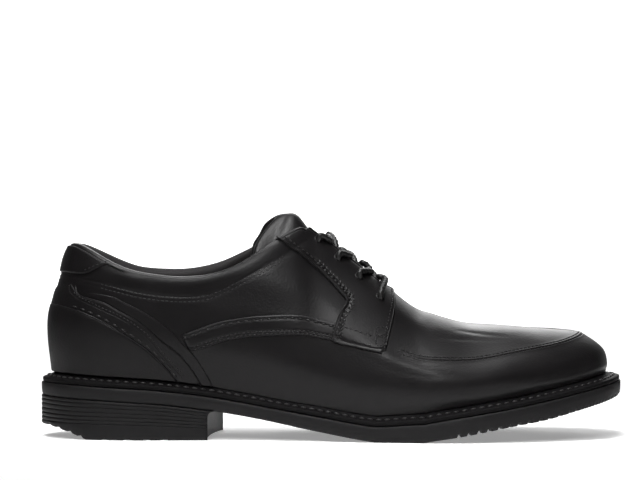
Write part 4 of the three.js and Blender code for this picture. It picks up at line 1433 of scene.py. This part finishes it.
def build_braid():
    """Plaited double stitch along the back edge of each eyestay, and the plain row above it."""
    bm = bmesh.new()
    for side in (-1, 1):
        back = resampled(eyestay_lines(side)[0], 100)
        for gap, slant in ((2.5, 0.6), (3.9, -0.6)):
            path = path_on_skin(inset_line(back[30:76], gap * side), OVERLAY - 0.35)
            add_stitches(bm, path, 2.5, 2.9, 1.25, 1.3, sink=0.3, slant=slant * side)
        row = inset_line(back[72:97], 2.6 * side)
        add_stitches(bm, path_on_skin(row, OVERLAY + 0.1), 2.6, 1.9, 0.7, 0.6)
    finish_piece(bm, "plaited_stitches", [finish_named("seam_thread")])


def box_of_stitches(bm, side, low, high, lift):
    """Rectangle of small stitches between two corners of the side view, in millimetres."""
    (x0, z0), (x1, z1) = low, high
    corners = [(x0, z0), (x1, z0 - 0.4), (x1, z1 - 0.4), (x0, z1), (x0, z0)]
    for a, b in zip(corners, corners[1:]):
        places = [on_skin(mix(a[0], b[0], k / 4), mix(a[1], b[1], k / 4), side) for k in range(5)]
        add_stitches(bm, path_on_skin(places, lift), 1.35, 1.15, 0.75, 0.6)


# Plain rows and stitched boxes on the strap under the eyestay, between two corners of the side view
STRAP_ROWS = (((159.3, 58.1), (173.7, 53.4)), ((163.4, 51.2), (173.7, 48.7)))
STRAP_BOXES = (
    ((153.9, 53.4), (158.6, 58.4)), ((175.9, 53.6), (181.2, 57.8)), ((175.6, 48.9), (180.7, 53.0)),
)


def build_seams():
    """Stitch rows of the upper."""
    bm = bmesh.new()
    for side in (-1, 1):
        strap_top = line_on_skin(side_line(STRAP_TOP, 6), side)
        strap_foot = line_on_skin(side_line(STRAP_FOOT, 6), side)
        # Rows of stitches: line, distance from it, lift, pitch and width in millimetres
        rows = [
            (strap_top, 2.0 * side, OVERLAY * 0.8 + 0.1, 3.9, 0.8),
            (strap_foot, -1.0 * side, OVERLAY * 0.8 + 0.1, 2.2, 0.65),
            (strap_foot, -2.4 * side, OVERLAY * 0.8 + 0.1, 2.2, 0.65),
            (line_on_skin(side_line(COUNTER_EDGE[2:-1], 5), side), -1.2 * side, OVERLAY + 0.05, 5.0, 0.8),
            (line_on_skin(side_line(STEP_EDGE[2:-1], 5), side), -1.5 * side, OVERLAY * 0.8 + 0.1, 2.1, 0.6),
        ]
        for places, gap, lift, pitch, width in rows:
            add_stitches(bm, path_on_skin(inset_line(places, gap), lift), pitch, pitch * 0.68, width, 0.6)
        front = resampled(eyestay_lines(side)[1], 90)
        front = inset_line(front[2:34], -2.3 * side)
        add_stitches(bm, path_on_skin(front, OVERLAY + 0.1), 2.2, 1.5, 0.65, 0.6)
        for (x0, z0), (x1, z1) in STRAP_ROWS:
            places = [on_skin(mix(x0, x1, k / 8), mix(z0, z1, k / 8), side) for k in range(9)]
            add_stitches(bm, path_on_skin(places, OVERLAY + 0.1), 2.4, 1.7, 0.7, 0.6)
        for low, high in STRAP_BOXES:
            box_of_stitches(bm, side, low, high, OVERLAY + 0.1)
        tab = inset_line(line_on_skin(side_line(TAB_EDGE[2:5], 7), side), -1.4 * side)
        add_stitches(bm, path_on_skin(tab, OVERLAY * 0.7 + 0.05), 2.2, 1.4, 0.6, 0.5)
        for gap in (0.6, 2.6):
            places = []
            for i in range(60):
                x = mix(0.11, 0.42, i / 59) * LENGTH
                places.append(on_skin(x, pad_seam(x / LENGTH) - gap, side))
            add_stitches(bm, path_on_skin(places, -0.05), 2.3, 1.6, 0.5, 0.4)
    tops = [(turn, SEAM_LEVEL) for turn in turn_list() if share_at(turn) > 0.61]
    for side in (-1, 1):
        places = sorted([p for p in tops if p[0] * side > 0], key=lambda p: abs(p[0]))
        for gap in (-0.0146, 0.0146):
            path = path_on_skin([(t, SEAM_LEVEL + gap) for t, _ in places], 0)
            add_stitches(bm, path, 2.2, 1.5, 0.6, 0.6, sink=0.1)
    finish_piece(bm, "seam_stitches", [finish_named("seam_thread")])


def sole_turns(half):
    """Turns of the sole's columns, the same on both sides."""
    side = [i / half for i in range(half + 1)]
    return [-t for t in reversed(side[1:])] + side


def ring_piece(bm, turns, rows, closed=True, flip=False):
    """Sweep of (inwards, height) rows round the sole; each row gives two functions of turn and x."""
    def place(i, j):
        inwards, height = rows[j]
        turn = turns[i]
        x, y = outline(turn, inwards(turn) if callable(inwards) else inwards)
        return x, y, height(x) if callable(height) else height

    return moved_grid(bm, len(turns) - 1, len(rows) - 1, place, closed=closed, flip=flip)


def welt_inner(turn):
    """Distance of the welt's inner edge from the outsole's edge."""
    return feather_inset(turn) + WELT_SEAT


def build_welt():
    """Sloped welt all round, with a rounded edge."""
    bm = bmesh.new()

    def lower(x):
        return feather(x) - WELT_DROP

    rows = [(welt_inner, lower)]
    for inwards, rise in WELT_ROWS:
        rows.append((inwards, lambda x, rise=rise: lower(x) + rise))
    for share, rise in ((0.35, 0.95), (0.7, 1.9)):
        rows.append((lambda turn, share=share: mix(WELT_ROWS[-1][0], feather_inset(turn), share),
                     lambda x, rise=rise: lower(x) + WELT_EDGE + rise))
    rows += [
        (lambda turn: feather_inset(turn) - 0.6, lambda x: feather(x) - GAP - 0.2),
        (welt_inner, lambda x: feather(x) - GAP),
        (welt_inner, lower),
    ]
    ring_piece(bm, sole_turns(170), rows, flip=True)
    # The welt's darker rubber is painted shade
    finish_piece(bm, "stitched_welt", [finish_named("welt_rubber_painted_shade")], ["welt"])


def build_welt_stitches():
    """Stitches on the slope of the welt."""
    bm = bmesh.new()
    path = []
    for i in range(-300, 301):
        turn = i / 300
        inwards = mix(1.9, feather_inset(turn), 0.3)
        x, y = outline(turn, inwards)
        ax, ay = outline(turn, inwards - 1)
        out = Vector((ax - x, ay - y, 1.6)).normalized()
        path.append((Vector((x, y, feather(x) - WELT_DROP + WELT_EDGE + 0.95)), out))
    add_stitches(bm, path, 4.4, 3.3, 1.3, 1.0)
    finish_piece(bm, "welt_stitches", [finish_named("welt_thread")])


def build_outsole():
    """Sole plate with a rounded edge, tread notches along the forefoot and a hollowed underside."""
    bm = bmesh.new()
    turns = sole_turns(420)
    deep = bpy.context.scene.shoe_sizes.lug_depth / MM

    def seat(x):
        return feather(x) - WELT_DROP - GAP

    def notch(turn):
        """Depth of the tread notches of the forefoot edge, nothing between them."""
        share = share_at(turn)
        on = smooth(0.695, 0.705, share)
        place_along = LENGTH * share + 40 * smooth(0.9, 1, share)
        return deep * on * smooth(0.5, 0.68, math.cos(2 * math.pi * place_along / LUG_PITCH))

    def hollow(x, depth=2.2):
        inside = smooth(0.66, 0.7, x / LENGTH) * (1 - smooth(0.93, 0.96, x / LENGTH))
        return sole_bottom(x) + 0.3 + depth * inside

    rows = [
        (lambda turn: welt_inner(turn) + GAP, lambda turn, x: feather(x)),
        (lambda turn: welt_inner(turn) + GAP, lambda turn, x: seat(x)),
        (0.9, lambda turn, x: seat(x)),
        (0.3, lambda turn, x: seat(x) - 0.15),
        (0.0, lambda turn, x: seat(x) - 0.6),
        (0.05, lambda turn, x: mix(seat(x), sole_bottom(x), 0.45)),
    ]
    for inwards, rise, part in EDGE_ROWS:
        rows.append((inwards, lambda turn, x, up=rise, k=part: sole_bottom(x) + up + k * notch(turn)))
    rows += [(7.8, lambda turn, x: hollow(x, 2.1)), (8.8, lambda turn, x: hollow(x))]
    inner = [0.2, 0.4, 0.6, 0.8, 1]

    def place(i, j):
        turn = turns[i]
        inwards, height = rows[min(j, len(rows) - 1)]
        x, y = outline(turn, inwards(turn) if callable(inwards) else inwards)
        if j < len(rows):
            return x, y, height(turn, x)
        middle = mix(0.1, 0.9, share_at(turn)) * LENGTH
        k = inner[j - len(rows)]
        px = mix(x, middle, k)
        return px, mix(y, swing(middle / LENGTH), k), hollow(px)

    moved_grid(bm, len(turns) - 1, len(rows) + len(inner) - 1, place, closed=True)
    bmesh.ops.recalc_face_normals(bm, faces=bm.faces)
    finish_piece(bm, "rubber_outsole", [finish_named("sole_rubber_matt")], ["outsole"], 2e-5)


def heel_breast(y):
    """Forward reach of the heel block at y."""
    across = y / (HEEL_WIDTH / 2)
    return BREAST - BREAST_HOLLOW * (1 - across * across) + BREAST_SLANT * across


def heel_corner(side):
    """Turn at which the heel's outline meets its breast."""
    turn = 0.3
    while outline(side * turn)[0] < heel_breast(outline(side * turn)[1]):
        turn += 0.0005
    return turn


def heel_loop():
    """Plan of the heel block as (point, inward direction, share of ribs)."""
    loop = []
    lateral, medial = heel_corner(-1), heel_corner(1)
    for i in range(201):
        turn = mix(-lateral, medial, i / 200)
        x, y = outline(turn)
        ax, ay = outline(turn, 1)
        loop.append((Vector((x, y, 0)), Vector((ax - x, ay - y, 0)), 1))
    start, end = loop[-1][0].y, loop[0][0].y
    for i in range(41):
        y = mix(start, end, i / 40)
        loop.append((Vector((heel_breast(y), y, 0)), Vector((-1, 0, 0)), 0))
    return loop


def build_heel():
    """Heel block with fine ribs, a bevelled back, tread notches and a breast rounded into the sole."""
    bm = bmesh.new()
    loop = heel_loop()
    bevel = column(BEVEL, 1, BACK_BEVEL)
    rib_depth = bpy.context.scene.shoe_sizes.rib_depth / MM
    middle = Vector((0.15 * LENGTH, 0.5, 0))

    def low(p):
        return bevel(p.x / LENGTH) + 1.3 * max(bump(p.x - at, 0.9) for at in HEEL_NOTCHES)

    def top(p):
        return sole_bottom(p.x) - GAP

    # Rows of (reach inwards, height, kind): kind 0 leads to the middle, 2 moves the ribbed part alone
    rows = [
        (0.9, lambda p: low(middle), 0),
        (0.4, lambda p: bevel(mix(p.x, middle.x, 0.4) / LENGTH), 0),
        (4.0, lambda p: bevel(p.x / LENGTH), 1),
        (3.6, low, 1),
        (0.6, low, 1),
        (0.15, lambda p: low(p) + 0.25, 1),
        (0.0, lambda p: max(low(p), bevel(p.x / LENGTH)) + 0.7, 1),
    ]
    for share in HEEL_RIBS:
        for step, depth in RIB_STEPS:
            rows.append((depth * rib_depth, lambda p, k=share + step: top(p) * k, 2))
    rows += [(0.0, top, 2), (6.0, top, 1)]

    def place(i, j):
        point, inwards, ribs = loop[i % len(loop)]
        reach, height, kind = rows[j]
        z = height(point)
        if kind == 0:
            flat = point.lerp(middle, reach)
            return flat.x, flat.y, z
        distance = reach * ribs if kind == 2 else reach
        if not ribs:
            rise = clamp(z - (top(point) - BREAST_FILLET), 0, BREAST_FILLET)
            distance -= BREAST_FILLET - math.sqrt(BREAST_FILLET ** 2 - rise ** 2)
        spot = point + inwards * distance
        return spot.x, spot.y, z

    moved_grid(bm, len(loop), len(rows) - 1, place, closed=True)
    bmesh.ops.holes_fill(bm, edges=bm.edges, sides=len(loop))
    bmesh.ops.recalc_face_normals(bm, faces=bm.faces)
    finish_piece(bm, "ribbed_heel", [finish_named("sole_rubber_matt")], ["heel"])


def build_insole():
    """Footbed with a softly dished top and a rolled edge."""
    bm = bmesh.new()
    turns = sole_turns(120)
    inner = 12

    def place(i, j):
        turn = turns[i]
        side = feather_inset(turn) + WALL + 1.2 * GAP
        inwards, rise = FOOTBED_ROLL[min(j, len(FOOTBED_ROLL) - 1)]
        x, y = outline(turn, side + inwards)
        if j < len(FOOTBED_ROLL):
            return x, y, feather(x) + GAP + rise
        middle = mix(0.12, 0.86, share_at(turn)) * LENGTH
        k = (j - len(FOOTBED_ROLL) + 1) / inner
        px = mix(x, middle, k)
        return px, mix(y, swing(middle / LENGTH), k), feather(px) + GAP + rise - FOOTBED_DISH * k * k

    moved_grid(bm, len(turns) - 1, len(FOOTBED_ROLL) + inner - 1, place, closed=True)
    bmesh.ops.holes_fill(bm, edges=bm.edges, sides=len(turns))
    bmesh.ops.recalc_face_normals(bm, faces=bm.faces)
    finish_piece(bm, "padded_insole", [finish_named("collar_lining")], ["insole"], 2e-5)


# Camera of the photo, level and beside the shoe
SENSOR_WIDTH = 36
PICTURE_WIDTH = 640
FOCAL_PIXELS = 2270
CAMERA_PLACE = (147, -1200, 103)
# Metres that the paper reaches from the shoe, and up behind it
PAPER_REACH = 4


def build_stage():
    """Paper floor, lamps, world and camera of the photo."""
    scene = bpy.context.scene
    bm = bmesh.new()
    bmesh.ops.create_grid(bm, x_segments=1, y_segments=1, size=PAPER_REACH)
    behind = PAPER_REACH - 0.1
    back = [edge for edge in bm.edges if all(vert.co.y > behind for vert in edge.verts)]
    raised = bmesh.ops.extrude_edge_only(bm, edges=back)
    up = [part for part in raised["geom"] if isinstance(part, bmesh.types.BMVert)]
    bmesh.ops.translate(bm, verts=up, vec=(0, 0, PAPER_REACH))
    bend = [edge for edge in bm.edges if all(abs(v.co.z) < 1e-6 and v.co.y > behind for v in edge.verts)]
    bmesh.ops.bevel(bm, geom=bend, offset=1.5, segments=12, profile=0.5, affect="EDGES", material=-1)
    for face in bm.faces:
        face.smooth = True
    mesh = bpy.data.meshes.new("studio_floor")
    bm.to_mesh(mesh)
    bm.free()
    floor = bpy.data.objects.new("studio_floor", mesh)
    scene.collection.objects.link(floor)
    mesh.materials.append(finish_named("studio_paper_painted_glow"))
    floor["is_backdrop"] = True

    # Lamps: name, place, target, size, watts and spread in degrees
    lamps = [
        ("lamp_overhead", (0.0, 0.1, 1.3), (0.0, 0.0, 0.0), (0.5, 0.4), 0.38, 40),
        ("lamp_back", (0.2, 1.4, 0.85), (0.14, 0.0, 0.05), (0.9, 0.9), 0.95, 50),
        ("lamp_front", (-0.18, -0.32, 1.25), (0.0, 0.0, 0.06), (0.7, 0.25), 0.75, 34),
        ("lamp_side", (-0.2, -1.2, 1.05), (0.0, 0.0, 0.06), (0.5, 0.3), 0.34, 30),
        ("lamp_paper", (0, 1.9, 2.2), (0, 3.2, 0.2), (4, 1.0), 18, 100),
    ]
    for name, place, target, size, power, spread in lamps:
        data = bpy.data.lights.new(name, "AREA")
        data.shape = "RECTANGLE"
        data.size, data.size_y = size
        data.energy = power
        data.spread = math.radians(spread)
        lamp = bpy.data.objects.new(name, data)
        lamp.location = place
        lamp.rotation_euler = (Vector(target) - Vector(place)).to_track_quat("-Z", "Y").to_euler()
        scene.collection.objects.link(lamp)

    world = bpy.data.worlds.new("studio_air")
    world.use_nodes = True
    tree = world.node_tree
    way = add_node(tree, "ShaderNodeTexCoord").outputs["Generated"]
    parts = add_node(tree, "ShaderNodeSeparateXYZ", None, {0: way})
    # The studio is dark on the near side and pale behind the shoe
    glow = mapped(tree, parts.outputs["Y"], 0.45, 0.95, 0.012, 0.3)
    tree.links.new(glow, tree.nodes["Background"].inputs["Strength"])
    tree.nodes["Background"].inputs["Color"].default_value = (1, 1, 1, 1)
    scene.world = world
    scene.view_settings.view_transform = "Standard"

    data = bpy.data.cameras.new("photo_camera")
    data.sensor_width = SENSOR_WIDTH
    data.lens = FOCAL_PIXELS * SENSOR_WIDTH / PICTURE_WIDTH
    data.clip_start = 0.05
    data.clip_end = 50
    camera = bpy.data.objects.new("photo_camera", data)
    camera.location = placed(CAMERA_PLACE)
    camera.rotation_euler = (math.pi / 2, 0, 0)
    scene.collection.objects.link(camera)
    scene.camera = camera


def size_of(name, description, millimetres):
    """Size that a user may change."""
    return bpy.props.FloatProperty(name=name, description=description, default=millimetres * MM,
                                   min=0, max=0.02, unit="LENGTH", subtype="DISTANCE", precision=4)


def colour_of(name, description, colour):
    """Colour that a user may change."""
    return bpy.props.FloatVectorProperty(name=name, description=description, subtype="COLOR", min=0, max=1,
                                         default=from_hex(colour)[:3])


class ShoeSizes(bpy.types.PropertyGroup):
    """Sizes of the soft pieces that a user may change."""

    lace_thickness: size_of("Lace thickness", "Thickness of the waxed lace", 3.2)
    stitch_height: size_of("Stitch height", "How far a stitch stands off the leather", 0.6)
    tongue_padding: size_of("Tongue padding", "Swell of the tongue's padding", 0.9)
    crease_depth: size_of("Crease depth", "Depth of the deepest soft hollow of the vamp", 0.9)
    rib_depth: size_of("Rib depth", "Depth of the grooves round the heel", 0.6)
    lug_depth: size_of("Notch depth", "Depth of the tread notches along the forefoot", 2.2)


class ShoeColours(bpy.types.PropertyGroup):
    """Colours of the shoe that a user may change."""

    leather: colour_of("Leather", "Dye of the leather", "#121112")
    leather_worn: colour_of("Leather, polished", "Leather where the polish has thinned", "#161415")
    # Lighter grey than the leather: painted highlight on the folded and pressed edges
    edge: colour_of("Pressed edges", "Folded and pressed edges of the overlays", "#3a3738")
    lining: colour_of("Lining", "Textile lining and footbed", "#1d1b1c")
    # The lace colour goes on the raised strands; the grooves between them get painted shade in near black
    lace: colour_of("Lace", "Raised strands of the lace", "#262424")
    thread: colour_of("Thread", "Sewing thread of the upper", "#1c1a1b")
    welt_thread: colour_of("Welt thread", "Thread of the welt's stitches", "#343233")
    sole: colour_of("Sole", "Rubber of the sole and heel", "#111011")


class SHOE_OT_upper(bpy.types.Operator):
    """Model the leather shell of the upper with its lining."""

    bl_idname = "shoe.upper"
    bl_label = "Upper"

    def execute(self, context):
        build_upper()
        return {"FINISHED"}


class SHOE_OT_overlays(bpy.types.Operator):
    """Model the counter, foxing, bands, heel tab, straps and eyestays."""

    bl_idname = "shoe.overlays"
    bl_label = "Overlays"

    def execute(self, context):
        build_counter()
        build_foxing()
        build_bands()
        build_tab()
        build_straps()
        build_eyestays()
        build_edge_cords()
        build_braid()
        return {"FINISHED"}


class SHOE_OT_tongue(bpy.types.Operator):
    """Model the padded tongue."""

    bl_idname = "shoe.tongue"
    bl_label = "Tongue"

    def execute(self, context):
        build_tongue()
        return {"FINISHED"}


class SHOE_OT_laces(bpy.types.Operator):
    """Run the lace through its eyelets."""

    bl_idname = "shoe.laces"
    bl_label = "Laces"

    def execute(self, context):
        build_eyelets()
        build_laces()
        return {"FINISHED"}


class SHOE_OT_seams(bpy.types.Operator):
    """Sew the stitch rows of the upper."""

    bl_idname = "shoe.seams"
    bl_label = "Seams"

    def execute(self, context):
        build_seams()
        return {"FINISHED"}


class SHOE_OT_sole(bpy.types.Operator):
    """Model the welt, its stitches, the outsole, the heel and the insole."""

    bl_idname = "shoe.sole"
    bl_label = "Sole"

    def execute(self, context):
        build_welt()
        build_welt_stitches()
        build_outsole()
        build_heel()
        build_insole()
        return {"FINISHED"}


class SHOE_OT_stage(bpy.types.Operator):
    """Set the floor, lamps and camera."""

    bl_idname = "shoe.stage"
    bl_label = "Stage"

    def execute(self, context):
        build_stage()
        return {"FINISHED"}


class SHOE_PT_panel(bpy.types.Panel):
    """Steps of the shoe in the sidebar."""

    bl_label = "Shoe"
    bl_space_type = "VIEW_3D"
    bl_region_type = "UI"
    bl_category = "Shoe"

    def draw(self, context):
        for group in (context.scene.shoe_sizes, context.scene.shoe_colours):
            for name in group.__annotations__:
                self.layout.prop(group, name)
        for step in STEPS:
            self.layout.operator(step.bl_idname)


STEPS = (
    SHOE_OT_stage, SHOE_OT_upper, SHOE_OT_overlays, SHOE_OT_tongue, SHOE_OT_laces, SHOE_OT_seams,
    SHOE_OT_sole,
)
CLASSES = (ShoeSizes, ShoeColours, *STEPS, SHOE_PT_panel)


def register():
    """Add the steps, the panel and the groups of sizes and colours to Blender."""
    for cls in CLASSES:
        bpy.utils.register_class(cls)
    bpy.types.Scene.shoe_sizes = bpy.props.PointerProperty(type=ShoeSizes)
    bpy.types.Scene.shoe_colours = bpy.props.PointerProperty(type=ShoeColours)


def unregister():
    """Take away what register added."""
    del bpy.types.Scene.shoe_colours
    del bpy.types.Scene.shoe_sizes
    for cls in reversed(CLASSES):
        bpy.utils.unregister_class(cls)


def plain(box):
    """Corners of a box as short lists."""
    return [[round(value, 6) for value in corner] for corner in box]


def main():
    """Run every step."""
    register()
    for step in STEPS:
        group, name = step.bl_idname.split(".")
        getattr(getattr(bpy.ops, group), name)()
    {"cad": plain(CAD_BOX), "visual": plain(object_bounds())}


if __name__ == "__main__":
    main()
